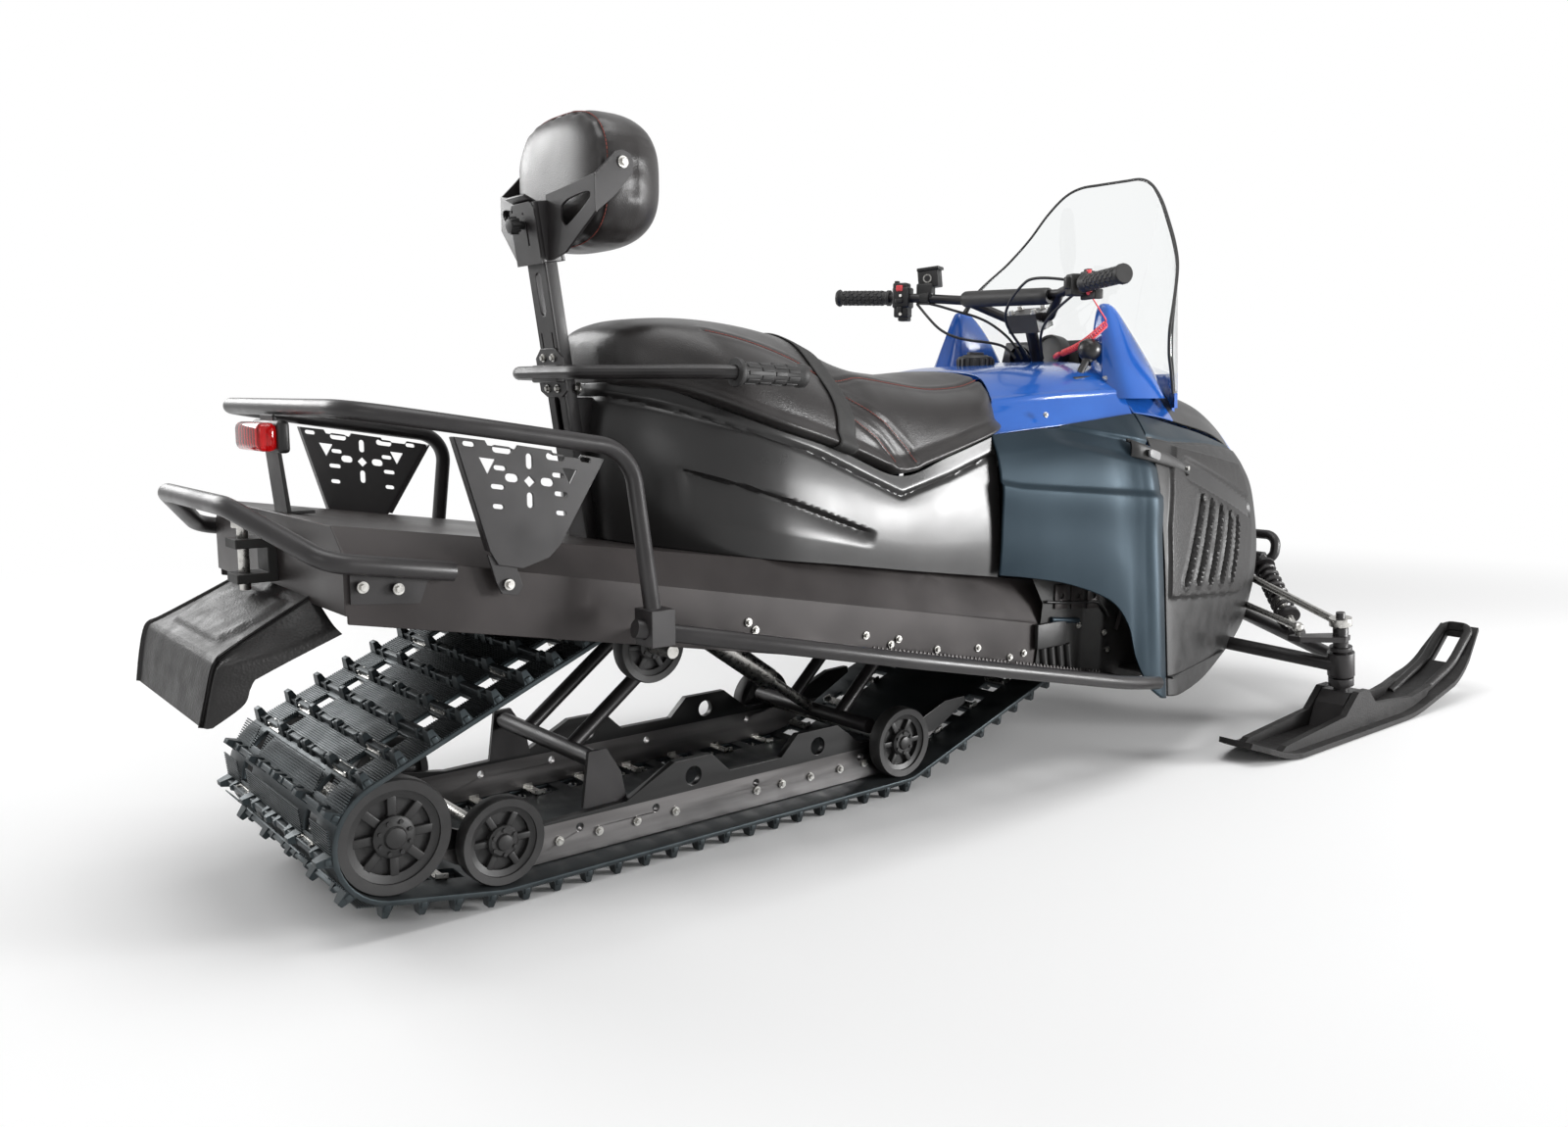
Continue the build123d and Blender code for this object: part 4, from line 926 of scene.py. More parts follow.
# nose panels: grained plastic with a raised frame, a smooth latch band and five slanted vent slots
nosePanel = {
    "rows": [
        [(1.646, -0.430, 0.136), (1.646, -0.418, 0.300), (1.646, -0.407, 0.440), (1.646, -0.385, 0.600),
         (1.646, -0.352, 0.690), (1.648, -0.316, 0.744)],
        [(1.700, -0.425, 0.132), (1.700, -0.414, 0.300), (1.700, -0.403, 0.440), (1.700, -0.378, 0.600),
         (1.700, -0.345, 0.686), (1.700, -0.308, 0.736)],
        [(1.850, -0.382, 0.136), (1.850, -0.387, 0.300), (1.850, -0.379, 0.440), (1.850, -0.350, 0.600),
         (1.850, -0.318, 0.668), (1.850, -0.278, 0.714)],
        [(2.000, -0.335, 0.158), (2.000, -0.352, 0.300), (2.000, -0.350, 0.440), (2.000, -0.320, 0.585),
         (2.000, -0.288, 0.650), (2.000, -0.248, 0.692)],
        [(2.140, -0.292, 0.190), (2.140, -0.312, 0.300), (2.140, -0.312, 0.430), (2.140, -0.286, 0.565),
         (2.140, -0.256, 0.625), (2.140, -0.218, 0.666)],
        [(2.232, -0.262, 0.236), (2.236, -0.277, 0.320), (2.238, -0.277, 0.420), (2.238, -0.256, 0.545),
         (2.238, -0.228, 0.605), (2.240, -0.194, 0.646)],
        [(2.268, -0.232, 0.290), (2.278, -0.250, 0.350), (2.282, -0.250, 0.430), (2.282, -0.232, 0.530),
         (2.284, -0.205, 0.585), (2.288, -0.174, 0.628)],
    ],
    "frame": [(1.757, 0.668), (1.706, 0.620), (1.668, 0.501), (1.656, 0.350), (2.060, 0.312), (2.120, 0.340),
              (2.168, 0.496), (2.150, 0.612)],
    "frameLift": 0.008, "latchBand": ((1.790, 0.616), (2.165, 0.502)), "bandHalf": 0.024, "bandDepth": 0.008,
    "crest": [(1.60, 0.700), (1.757, 0.680), (2.000, 0.668), (2.300, 0.640)],
    "slotTops": [(1.832, 0.550), (1.880, 0.533), (1.931, 0.517), (1.984, 0.500), (2.029, 0.484)],
    "slotFeet": [(1.719, 0.377), (1.781, 0.374), (1.845, 0.368), (1.912, 0.364), (1.979, 0.359)],
    "slotHalf": 0.0115, "slotDepth": 0.020, "steps": (172, 140),
}


def awayFrom(x, z, start, end):
    # distance from a stretch in the (x, z) plane
    ax = end[0] - start[0]
    az = end[1] - start[1]
    t = min(max(((x - start[0]) * ax + (z - start[1]) * az) / (ax * ax + az * az), 0), 1)
    return math.hypot(x - start[0] - t * ax, z - start[1] - t * az)


def inRing(x, z, ring):
    # signed distance to a closed ring, positive inside
    inside = False
    gap = 9.0
    for (x0, z0), (x1, z1) in zip(ring, ring[1:] + ring[:1]):
        if (z0 > z) != (z1 > z) and x < x0 + (z - z0) / (z1 - z0) * (x1 - x0):
            inside = not inside
        gap = min(gap, awayFrom(x, z, (x0, z0), (x1, z1)))
    return gap if inside else -gap


def noseRelief(p):
    n = nosePanel
    depth = inRing(p.x, p.z, n["frame"])
    lift = n["frameLift"] * step(-0.005, 0.004, depth)
    lift -= 0.004 * math.exp(-((p.z - onLine(n["crest"], p.x)) / 0.004) ** 2)
    band = awayFrom(p.x, p.z, *n["latchBand"])
    lift -= n["bandDepth"] * step(n["bandHalf"] + 0.006, n["bandHalf"] - 0.006, band)
    for top, foot in zip(n["slotTops"], n["slotFeet"]):
        gap = awayFrom(p.x, p.z, top, foot)
        lift += 0.004 * math.exp(-((gap - n["slotHalf"] - 0.0045) / 0.0035) ** 2)
        lift -= n["slotDepth"] * step(n["slotHalf"], n["slotHalf"] - 0.004, gap)
    return lift


def makeNosePanel(n):
    draft = bmesh.new()
    addSheet(draft, n["rows"], n["steps"], (0, -1, 0), noseRelief)
    for face in draft.faces:
        spot = face.calc_center_median()
        slot = min(awayFrom(spot.x, spot.z, top, foot) for top, foot in zip(n["slotTops"], n["slotFeet"]))
        if slot < n["slotHalf"] - 0.003:
            face.material_index = 2
        elif awayFrom(spot.x, spot.z, *n["latchBand"]) < n["bandHalf"] - 0.004:
            face.material_index = 1
        elif spot.z > onLine(n["crest"], spot.x):
            face.material_index = 3
        elif inRing(spot.x, spot.z, n["frame"]) < 0:
            face.material_index = 4
    keepPiece("nosePanels", draft, "chassis",
              ["grainPlastic", "satinCover", "darkIron", "slateCover", "plainPlastic"], ["nose_panels"], 40,
              [leftToo, wallOf(0.004)])


makeNosePanel(nosePanel)
print("nose panels made")

# hood and console in blue
hoodForm = {
    "rows": {
        1.646: [(-0.315, 0.745), (-0.286, 0.774), (-0.246, 0.798), (-0.130, 0.814), (0, 0.822)],
        1.770: [(-0.290, 0.735), (-0.262, 0.766), (-0.222, 0.793), (-0.120, 0.811), (0, 0.819)],
        1.900: [(-0.262, 0.718), (-0.236, 0.752), (-0.200, 0.786), (-0.108, 0.806), (0, 0.814)],
        2.120: [(-0.213, 0.684), (-0.190, 0.716), (-0.160, 0.748), (-0.090, 0.766), (0, 0.773)],
        2.290: [(-0.172, 0.628), (-0.154, 0.652), (-0.132, 0.672), (-0.072, 0.686), (0, 0.690)],
        2.372: [(-0.150, 0.574), (-0.134, 0.590), (-0.116, 0.602), (-0.064, 0.610), (0, 0.613)],
        2.404: [(-0.142, 0.546), (-0.126, 0.552), (-0.108, 0.556), (-0.060, 0.559), (0, 0.560)],
    },
    "steps": (105, 60), "creaseAt": 0.150, "creaseLift": 0.006, "crest": (1.865, 2.245), "crestInner": 0.135,
}
consoleForm = {
    "rows": [
        [(1.252, -0.264, 0.706), (1.272, -0.240, 0.756), (1.296, -0.206, 0.792), (1.326, -0.150, 0.822),
         (1.342, -0.070, 0.832), (1.346, 0, 0.834)],
        [(1.330, -0.276, 0.713), (1.336, -0.252, 0.764), (1.344, -0.210, 0.802), (1.360, -0.152, 0.829),
         (1.370, -0.072, 0.837), (1.372, 0, 0.838)],
        [(1.440, -0.292, 0.722), (1.440, -0.266, 0.776), (1.440, -0.222, 0.818), (1.440, -0.156, 0.840),
         (1.440, -0.074, 0.845), (1.440, 0, 0.846)],
        [(1.560, -0.306, 0.733), (1.560, -0.280, 0.784), (1.560, -0.230, 0.828), (1.560, -0.160, 0.848),
         (1.560, -0.076, 0.852), (1.560, 0, 0.853)],
        [(1.642, -0.316, 0.744), (1.642, -0.288, 0.788), (1.642, -0.236, 0.832), (1.642, -0.164, 0.853),
         (1.642, -0.078, 0.858), (1.642, 0, 0.858)],
    ],
    "edge": [(1.2, 0.765), (1.45, 0.782), (1.66, 0.792)], "edgeDepth": 0.004, "edgeLift": 0.003,
    "steps": (80, 90),
}


def hoodRelief(p):
    crease = abs(p.y) - hoodForm["creaseAt"] * (2.55 - p.x) / 0.9
    return hoodForm["creaseLift"] * step(0.004, -0.006, crease)


def consoleRelief(p):
    c = consoleForm
    edge = p.z - onLine(c["edge"], p.x)
    return -c["edgeDepth"] * step(0.004, -0.006, edge) + c["edgeLift"] * math.exp(-(edge / 0.006) ** 2)


def makeHood(h, c):
    draft = bmesh.new()
    net = [[(x, y, z) for y, z in row] for x, row in h["rows"].items()]
    addSheet(draft, net, h["steps"], (0, 0, 1), hoodRelief)
    for face in draft.faces:
        spot = face.calc_center_median()
        if h["crest"][0] < spot.x < h["crest"][1] and spot.y < -h["crestInner"] * (2.9 - spot.x):
            face.material_index = 1
    keepPiece("hoodShell", draft, "chassis", ["glossBlue", "satinCover"], ["hood"], 40,
              [bothHalves, wallOf(0.004)])
    draft = bmesh.new()
    addSheet(draft, c["rows"], c["steps"], (0, 0, 1), consoleRelief)
    keepPiece("consoleCover", draft, "chassis", ["glossBlue"], ["console"], 40,
              [bothHalves, wallOf(0.004)])


makeHood(hoodForm, consoleForm)
print("hood and console made")

# windshield: one bent clear sheet in a dark edge trim
windshield = {
    "outline": [(0.318, 0.786), (0.322, 0.830), (0.326, 0.880), (0.321, 0.955), (0.296, 1.045),
                (0.246, 1.120), (0.206, 1.178), (0.168, 1.236), (0.128, 1.278), (0.088, 1.296),
                (0.040, 1.299), (0.008, 1.2995)],
    "centre": 1.6732, "radius": 0.3368, "lean": 0.075, "leanFrom": 0.800, "thick": 0.004, "trim": 0.0034,
    "steps": (72, 60),
}


def onShield(y, z):
    w = windshield
    x = w["centre"] + math.sqrt(max(w["radius"] ** 2 - y * y, 0)) - w["lean"] * (z - w["leanFrom"])
    return Vector((x, y, z))


def makeWindshield(w):
    draft = bmesh.new()
    line = [Vector((0, y, z)) for y, z in w["outline"]]
    bmesh.ops.create_grid(draft, x_segments=w["steps"][0], y_segments=w["steps"][1], size=1)
    for vert in draft.verts:
        edge = onPath(line, (vert.co.y + 1) / 2)
        vert.co = onShield(vert.co.x * edge.y, edge.z)
    bmesh.ops.recalc_face_normals(draft, faces=draft.faces)
    keepPiece("clearShield", draft, "chassis", ["clearSheet"], ["windshield"], 60,
              [wallOf(w["thick"])])
    draft = bmesh.new()
    right = [onPath(line, k / 60) for k in range(61)]
    path = [onShield(-p.y, p.z) for p in right] + [onShield(p.y, p.z) for p in reversed(right)]
    addPipe(draft, path, w["trim"], "POLY", 2)
    keepPiece("windshieldTrim", draft, "chassis", ["softRubber"], sharp=80)


makeWindshield(windshield)
print("windshield made")

# track: an endless belt with drive windows, lugs in blocks and steel clips
trackForm = {
    "wheels": [(0.0, 0.148, 0.088), (0.172, 0.1004, 0.070), (1.037, 0.1004, 0.070), (1.462, 0.254, 0.076),
               (0.450, 0.372, 0.062)],
    "gap": 0.0004, "belt": 0.008, "columns": [-0.25, -0.174, -0.130, -0.043, 0.043, 0.130, 0.174, 0.25],
    "pitch": 0.0556,
    "lug": [  # y of the middle, width, height of each block of a lug
        (-0.234, 0.026, 0.0215), (-0.194, 0.014, 0.014), (-0.112, 0.024, 0.0205), (-0.080, 0.016, 0.013),
        (-0.028, 0.014, 0.0125), (0.000, 0.020, 0.0165), (0.028, 0.014, 0.0125), (0.080, 0.016, 0.013),
        (0.112, 0.024, 0.0205), (0.194, 0.014, 0.014), (0.234, 0.026, 0.0215)],
    "lugFoot": 0.018, "lugTip": 0.0085, "lugTaper": 0.008, "ridge": ((0, 0, 0.0045), (0.010, 0.496, 0.011)),
    "ribs": {"count": 10, "start": 0.0098, "apart": 0.0040,
             "runs": ((-0.212, 0.072), (0.0, 0.256), (0.212, 0.072))},
    "windows": (0.13, 0.174), "middle": (0.7, 0, 0.23), "clipAt": 0.152,
    "clip": [
        ((0, -0.026, -0.003), (0.020, 0.004, 0.012), 0, 0.0),
        ((0, 0.026, -0.003), (0.020, 0.004, 0.012), 0, 0.0),
        ((0, 0, -0.0012), (0.020, 0.056, 0.0022), 0, 0.0),
        ((0, 0, 0.0092), (0.018, 0.048, 0.0026), 0, 0.0006),
        ((0, -0.024, 0.0120), (0.014, 0.006, 0.008), 0, 0.0),
        ((0, 0.024, 0.0120), (0.014, 0.006, 0.008), 0, 0.0)],
}


def trackLoop(t):
    # stretches of the belt's inner line: straight runs and arcs in running order
    wheels = [(x, z, r + t["gap"]) for x, z, r in t["wheels"]]
    turns = []
    for k, (x, z, r) in enumerate(wheels):
        nx, nz, nr = wheels[(k + 1) % len(wheels)]
        heading = math.atan2(nz - z, nx - x)
        turns.append(heading - math.pi / 2 + math.asin((r - nr) / math.hypot(nx - x, nz - z)))
    parts = []
    for k, (x, z, r) in enumerate(wheels):
        start = turns[k - 1]
        sweep = (turns[k] - start) % math.tau
        parts.append(("arc", x, z, r, start, sweep, r * sweep))
        nx, nz, nr = wheels[(k + 1) % len(wheels)]
        a = turns[k]
        p = (x + r * math.cos(a), z + r * math.sin(a))
        q = (nx + nr * math.cos(a), nz + nr * math.sin(a))
        parts.append(("run", *p, *q, a, math.dist(p, q)))
    return parts


def onTrack(parts, s):
    for part in parts:
        length = part[-1]
        if s <= length or part is parts[-1]:
            if part[0] == "arc":
                a = part[4] + part[5] * s / length
                return Vector((part[1] + part[3] * math.cos(a), 0, part[2] + part[3] * math.sin(a))), a
            t = s / length
            return Vector((part[1] + (part[3] - part[1]) * t, 0, part[2] + (part[4] - part[2]) * t)), part[5]
        s -= length


def makeBelt(t, parts, total, lugs):
    draft = bmesh.new()
    last = len(t["columns"]) - 1
    bmesh.ops.create_grid(draft, x_segments=lugs * 4, y_segments=last, size=1)
    for vert in draft.verts:
        place, _ = onTrack(parts, (vert.co.x + 1) / 2 * total)
        place.y = t["columns"][round((vert.co.y + 1) / 2 * last)]
        vert.co = place
    low, high = t["windows"]
    windows = []
    for face in draft.faces:
        if low < abs(face.calc_center_median().y) < high and face.index % 4 in (1, 2):
            windows.append(face)
    bmesh.ops.delete(draft, geom=windows, context="FACES")
    bmesh.ops.remove_doubles(draft, verts=draft.verts, dist=0.0001)
    draft.normal_update()
    for face in draft.faces:
        out = face.calc_center_median() - Vector(t["middle"])
        out.y = 0
        if face.normal.dot(out) < 0:
            face.normal_flip()
    keepPiece("trackBelt", draft, "chassis", ["treadRubber"], ["track"], 40,
              [wallOf(t["belt"], 1.0), ("BEVEL", {"width": 0.0015, "segments": 2, "limit_method": "ANGLE"})])


def lugMould(t):
    # one lug with the fine ribs behind it, standing on the belt's face
    lug = bmesh.new()
    for y, width, height in t["lug"]:
        made = bmesh.ops.create_cube(lug, size=1)["verts"]
        for vert in made:
            high = vert.co.z > 0
            depth = t["lugTip"] if high else t["lugFoot"]
            across = width - (t["lugTaper"] if high else 0)
            vert.co = Vector((vert.co.x * depth, y + vert.co.y * across, height if high else -0.0005))
        tops = [edge for edge in lug.edges if all(v in made and v.co.z > 0.004 for v in edge.verts)]
        roundEdges(lug, tops, 0.002, 2)
    addBlock(lug, *t["ridge"], rounded=0.002)
    ribs = t["ribs"]
    for rib in range(ribs["count"]):
        for y, width in ribs["runs"]:
            addBlock(lug, (ribs["start"] + ribs["apart"] * rib, y, 0.0002), (0.0020, width, 0.0022))
    mould = bpy.data.meshes.new("lug")
    lug.to_mesh(mould)
    lug.free()
    return mould


def makeTrack(t):
    parts = trackLoop(t)
    total = sum(part[-1] for part in parts)
    lugs = round(total / t["pitch"])
    quarter = total / lugs / 4
    makeBelt(t, parts, total, lugs)
    mould = lugMould(t)
    draft = bmesh.new()
    clips = bmesh.new()
    for k in range(lugs):
        place, a = onTrack(parts, (k * 4 + 0.02) * quarter)
        outward = Vector((math.cos(a), 0, math.sin(a)))
        ahead = Vector((-math.sin(a), 0, math.cos(a)))
        turn = Matrix((ahead, Vector((0, 1, 0)), outward)).transposed()
        if turn.determinant() < 0:
            turn = Matrix((-ahead, Vector((0, 1, 0)), outward)).transposed()
        part = bmesh.new()
        part.from_mesh(mould)
        join(draft, part, Matrix.Translation(place + outward * t["belt"]) @ turn.to_4x4())
        if k % 2 == 0:
            for side in (-1, 1):
                part = bmesh.new()
                addBlocks(part, Vector(), t["clip"])
                stand = Matrix.Translation(place + Vector((0, side * t["clipAt"], 0))) @ turn.to_4x4()
                join(clips, part, stand)
    keepPiece("trackLugs", draft, "chassis", ["treadRubber"], sharp=30)
    keepPiece("trackClips", clips, "chassis", ["zincSteel"], sharp=30)
    print(lugs, "lugs on the track")


makeTrack(trackForm)

# wheels: rubber tyres on spoked discs
wheelForm = {
    "sets": [  # x, z, radius, spokes
        (0.0, 0.148, 0.088, 8), (0.172, 0.1004, 0.070, 6), (1.037, 0.1004, 0.070, 6),
        (0.450, 0.372, 0.062, 6)],
    "y": 0.222, "wide": 0.030, "bore": 0.010,
    "turned": {  # profiles in shares of the radius and of the width
        "tyre": [(0.80, 0.06), (0.97, 0.0), (1, 0.12), (1, 0.88), (0.97, 1.0), (0.80, 0.94), (0.78, 0.5),
                 (0.80, 0.06)],
        "hub": [(0.34, 0.1), (0.36, 0.2), (0.36, 0.85), (0.30, 0.97)],
        "rim": [(0.66, 0.30), (0.80, 0.18), (0.80, 0.82), (0.66, 0.70), (0.66, 0.30)],
        "disc": [(0.30, 0.32), (0.70, 0.32), (0.70, 0.44), (0.30, 0.44)],
        "cap": [(0.0, 1.16), (0.10, 1.15), (0.17, 1.10), (0.20, 0.98), (0.20, 0.80)],
    },
}


def makeWheels(w):
    draft = bmesh.new()
    half = w["wide"] / 2
    y = -w["y"]
    for x, z, r, count in w["sets"]:
        inner = Vector((x, y + half, z))
        outer = Vector((x, y - half, z))
        ring = {}
        for part, profile in w["turned"].items():
            ring[part] = [(r * share, width) for share, width in profile]
        addTurned(draft, ring["tyre"], inner, outer, 48)
        addTurned(draft, [(w["bore"], 0.1)] + ring["hub"] + [(w["bore"], 0.97)], inner, outer, 32, 1)
        addTurned(draft, ring["rim"], inner, outer, 48, 1)
        for k in range(count):
            turn = Matrix.Rotation(math.tau * k / count, 4, "Y")
            middle = Vector((x, y, z)) + turn @ Vector((r * 0.51, 0, 0))
            addBlock(draft, middle, (r * 0.36, w["wide"] * 0.46, r * 0.16), turn, 1, 0.002)
        addTurned(draft, ring["disc"], inner, outer, 48, 1)
        addTurned(draft, ring["cap"], inner, outer, 32, 1)
        for k in range(count):
            turn = Matrix.Rotation(math.tau * (k + 0.5) / count, 4, "Y")
            spot = outer + turn @ Vector((r * 0.28, 0, 0))
            addRod(draft, spot + Vector((0, 0.004, 0)), spot - Vector((0, 0.0016, 0)), 0.0034, 10, mat=1)
    keepPiece("trackWheels", draft, "chassis", ["softRubber", "plainPlastic"],
              ["track_wheels"], 35, [leftToo])


makeWheels(wheelForm)
print("track wheels made")

# cargo panels: bent plates with a slot pattern round a diamond, each held by a tab
cargoPanel = {
    "y": 0.322, "thick": 0.004, "middle": (0.186, 0.662), "slope": -0.155, "flange": 0.014,
    "outline": [(0.074, 0.728), (0.118, 0.722), (0.122, 0.715), (0.164, 0.708), (0.168, 0.714),
                (0.222, 0.705), (0.226, 0.698), (0.268, 0.692), (0.272, 0.697), (0.310, 0.690),
                (0.232, 0.566), (0.214, 0.550), (0.172, 0.538), (0.134, 0.546), (0.122, 0.566)],
    "slots": [  # along and up from the diamond, width, height
        (-0.092, 0.042, 0.019, 0.008), (-0.042, 0.040, 0.030, 0.010), (-0.046, 0.014, 0.020, 0.008),
        (-0.028, 0.002, 0.022, 0.013), (-0.050, -0.013, 0.022, 0.008), (-0.050, -0.041, 0.018, 0.008),
        (0.0, 0.029, 0.011, 0.024), (0.0, -0.027, 0.011, 0.024)],
    "triangle": ((-0.078, 0.026), (-0.052, 0.026), (-0.065, 0.002)), "diamond": 0.0095,
    "tab": [(0.120, 0.560), (0.132, 0.520), (0.140, 0.503), (0.164, 0.499), (0.172, 0.512), (0.160, 0.548)],
}


def makeCargoPanels(c):
    draft = bmesh.new()
    mx, mz = c["middle"]

    def onPanel(ring):
        return [(mx + x, mz + z + c["slope"] * x) for x, z in ring]

    holes = []
    for x, z, width, height in c["slots"]:
        for side in ((-1, 1) if abs(x) > 0.001 else (1,)):
            holes.append(onPanel(slotRing(x * side, z, width, height)))
    for side in (-1, 1):
        holes.append(onPanel([(x * side, z) for x, z in c["triangle"]]))
    d = c["diamond"]
    holes.append(onPanel([(-d, 0), (0, d), (d, 0), (0, -d)]))
    addPlate(draft, c["outline"], holes, -c["y"], c["thick"])
    addPlate(draft, c["tab"], [], -c["y"] + 0.004, c["thick"])
    for start, end in ((c["outline"][0], c["outline"][-1]), (c["outline"][9], c["outline"][10])):
        middle = Vector(((start[0] + end[0]) / 2, -c["y"] + c["flange"] / 2, (start[1] + end[1]) / 2))
        turn = Matrix.Rotation(math.atan2(start[0] - end[0], start[1] - end[1]), 4, "Y")
        addBlock(draft, middle, (0.003, c["flange"], math.dist(start, end)), turn)
    keepPiece("cargoPanels", draft, "chassis", ["powderSteel"], ["cargo_panels"], 18,
              [leftToo])


makeCargoPanels(cargoPanel)
print("cargo panels made")

# passenger bar with its clamp plate and grips, and the slotted post with the backrest's folded carriage
postForm = {
    "foot": (0.458, 0.0, 0.550), "lean": 8.35, "top": 0.558, "depth": 0.024, "width": 0.060, "wall": 0.004,
    "slots": [(0.0, 0.4095, 0.020, 0.075), (0.018, 0.330, 0.005, 0.032), (-0.018, 0.330, 0.005, 0.032),
              (0.0, 0.199, 0.020, 0.076)],
    "clampPlate": [(-0.045, 0.246), (-0.026, 0.236), (0.026, 0.236), (0.045, 0.246), (0.045, 0.302),
                   (0.024, 0.318), (-0.024, 0.318), (-0.045, 0.302)],
    "clampBolts": [(0.017, 0.303), (-0.017, 0.303), (0.017, 0.250), (-0.017, 0.250)],
}
grabBar = {
    "right": [(0.704, -0.312, 0.8158), (0.640, -0.312, 0.8180), (0.600, -0.312, 0.8195),
              (0.556, -0.312, 0.8212), (0.529, -0.277, 0.822), (0.420, -0.138, 0.822),
              (0.3929, -0.104, 0.822), (0.3929, -0.060, 0.822)],
    "tube": 0.012, "grip": ((0.564, -0.312, 0.8208), (0.711, -0.312, 0.8156)), "radius": 0.0172,
    "gripFlange": [(0.0122, 0.0), (0.0228, 0.0), (0.0242, 0.02), (0.0228, 0.055)],
    "gripShape": [(0.002, 0.07), (0, 0.10), (0, 0.86), (0.0030, 0.90), (0.0034, 0.97), (0, 1.0)],
}
carriage = {
    "low": 0.460, "long": 0.100, "size": (0.044, 0.084), "bore": (0.026, 0.062),
    "face": [(-0.042, 0.460), (0.042, 0.460), (0.042, 0.548), (0.030, 0.560), (-0.030, 0.560),
             (-0.042, 0.548)],
    "faceSlots": [(-0.010, 0.510, 0.006, 0.042), (-0.004, 0.543, 0.006, 0.006), (0.032, 0.550, 0.006, 0.006)],
    "panel": [(0.038, 1.113), (0.107, 1.124), (0.1625, 1.1345), (0.1625, 1.0757), (0.085, 1.0173),
              (0.057, 1.0095), (0.038, 1.0069)],
    "window": [(0.0756, 1.0986), (0.1392, 1.1103), (0.1533, 1.1074), (0.1507, 1.0943), (0.094, 1.0589),
               (0.0844, 1.0588), (0.0737, 1.0699)],
    "ear": [(0.4015, 1.1345), (0.425, 1.158), (0.438, 1.172), (0.452, 1.1765), (0.466, 1.172), (0.473, 1.158),
            (0.470, 1.140), (0.434, 1.102), (0.4015, 1.0757)],
    "earY": 0.161, "thick": 0.005, "bolt": (0.452, 1.157), "knobAt": (0.004, 0.526), "knobLong": 0.028,
    "knob": [(0.0, 0.0), (0.0070, 0.0), (0.0070, 0.30), (0.0120, 0.34), (0.0126, 0.60), (0.0112, 0.92),
             (0.0, 1.0)],
    "knobRibs": 8, "knobRibAt": 0.0118, "wingRun": (0.019, -0.120, 0), "wingAt": (0.376, 0, 0),
    "wingStretch": 1.0125,
}


def cutCorners(ring, rounds=3):
    for _ in range(rounds):
        softer = []
        for (x0, z0), (x1, z1) in zip(ring, ring[1:] + ring[:1]):
            softer.append((x0 * 0.75 + x1 * 0.25, z0 * 0.75 + z1 * 0.25))
            softer.append((x0 * 0.25 + x1 * 0.75, z0 * 0.25 + z1 * 0.75))
        ring = softer
    return ring


def onPost(p, depth):
    # stands a flat plate, drawn in (y, height along the post), on the post at a depth
    lean = math.radians(p["lean"])
    ahead = Vector((math.cos(lean), 0, math.sin(lean)))
    up = Vector((-math.sin(lean), 0, math.cos(lean)))
    place = Matrix((Vector((0, 1, 0)), -ahead, up)).transposed().to_4x4()
    return Matrix.Translation(Vector(p["foot"]) + ahead * depth) @ place


def addPostBlock(draft, p, depth, y, height, size, rounded=0.0):
    turn = Matrix.Rotation(-math.radians(p["lean"]), 4, "Y")
    addBlock(draft, onPost(p, depth) @ Vector((y, 0, height)), size, turn, 0, rounded)


def makePost(p):
    draft = bmesh.new()
    part = bmesh.new()
    half = p["width"] / 2
    outline = [(-half, -0.020), (half, -0.020), (half, p["top"]), (-half, p["top"])]
    addPlate(part, outline, [slotRing(*slot) for slot in p["slots"]], 0, p["wall"], 0, 0.0008)
    join(draft, part, onPost(p, -p["depth"] / 2 + p["wall"] / 2), 0)
    for side in (1, -1):
        addPostBlock(draft, p, 0, side * (half - p["wall"] / 2), (p["top"] - 0.020) / 2,
                     (p["depth"], p["wall"], p["top"] + 0.020), 0.001)
    addBlock(draft, (0.452, 0, 0.735), (0.040, 0.052, 0.090), None, 0, 0.004)
    keepPiece("backrestPost", draft, "chassis", ["powderSteel"], ["backrest_post"], 18)


def makeGrabBar(p, g):
    draft = bmesh.new()
    whole = [Vector(q) for q in g["right"]]
    addPipe(draft, whole + [Vector((q.x, -q.y, q.z)) for q in reversed(whole)], g["tube"], "NURBS", 5)
    part = bmesh.new()
    addPlate(part, p["clampPlate"], [], 0, 0.004, 0, 0.0008)
    join(draft, part, onPost(p, -p["depth"] / 2 - 0.002), 0)
    addBlock(draft, (0.397, 0, 0.820), (0.018, 0.090, 0.030), None, 0, 0.004)
    for y, height in p["clampBolts"]:
        place = onPost(p, -p["depth"] / 2 - 0.004)
        addBolt(draft, place @ Vector((y, 0, height)), place.to_3x3() @ Vector((0, 1, 0)), 0.0046, 1)
    keepPiece("grabBar", draft, "chassis", ["powderSteel", "zincSteel"], ["grab_bar"], 20)
    draft = bmesh.new()
    start, end = g["grip"]
    r = g["radius"]
    reach, length = along(start, end)
    profile = [(r + extra, share) for extra, share in g["gripShape"]]
    addTurned(draft, g["gripFlange"] + profile + [(0.0, 1.0)], start, end, 40)
    for row in range(4):
        for k in range(8):
            a = math.tau * (k + 0.5 * (row % 2)) / 8
            turn = reach.to_3x3().to_4x4() @ Matrix.Rotation(a, 4, "Z")
            spot = reach @ Vector((math.cos(a) * r, math.sin(a) * r, length * (0.20 + 0.19 * row)))
            addBlock(draft, spot, (0.0028, 0.0076, 0.024), turn, 0, 0.0012)
    keepPiece("grabGrips", draft, "chassis", ["softRubber"], ["grab_grips"], 42, [leftToo])


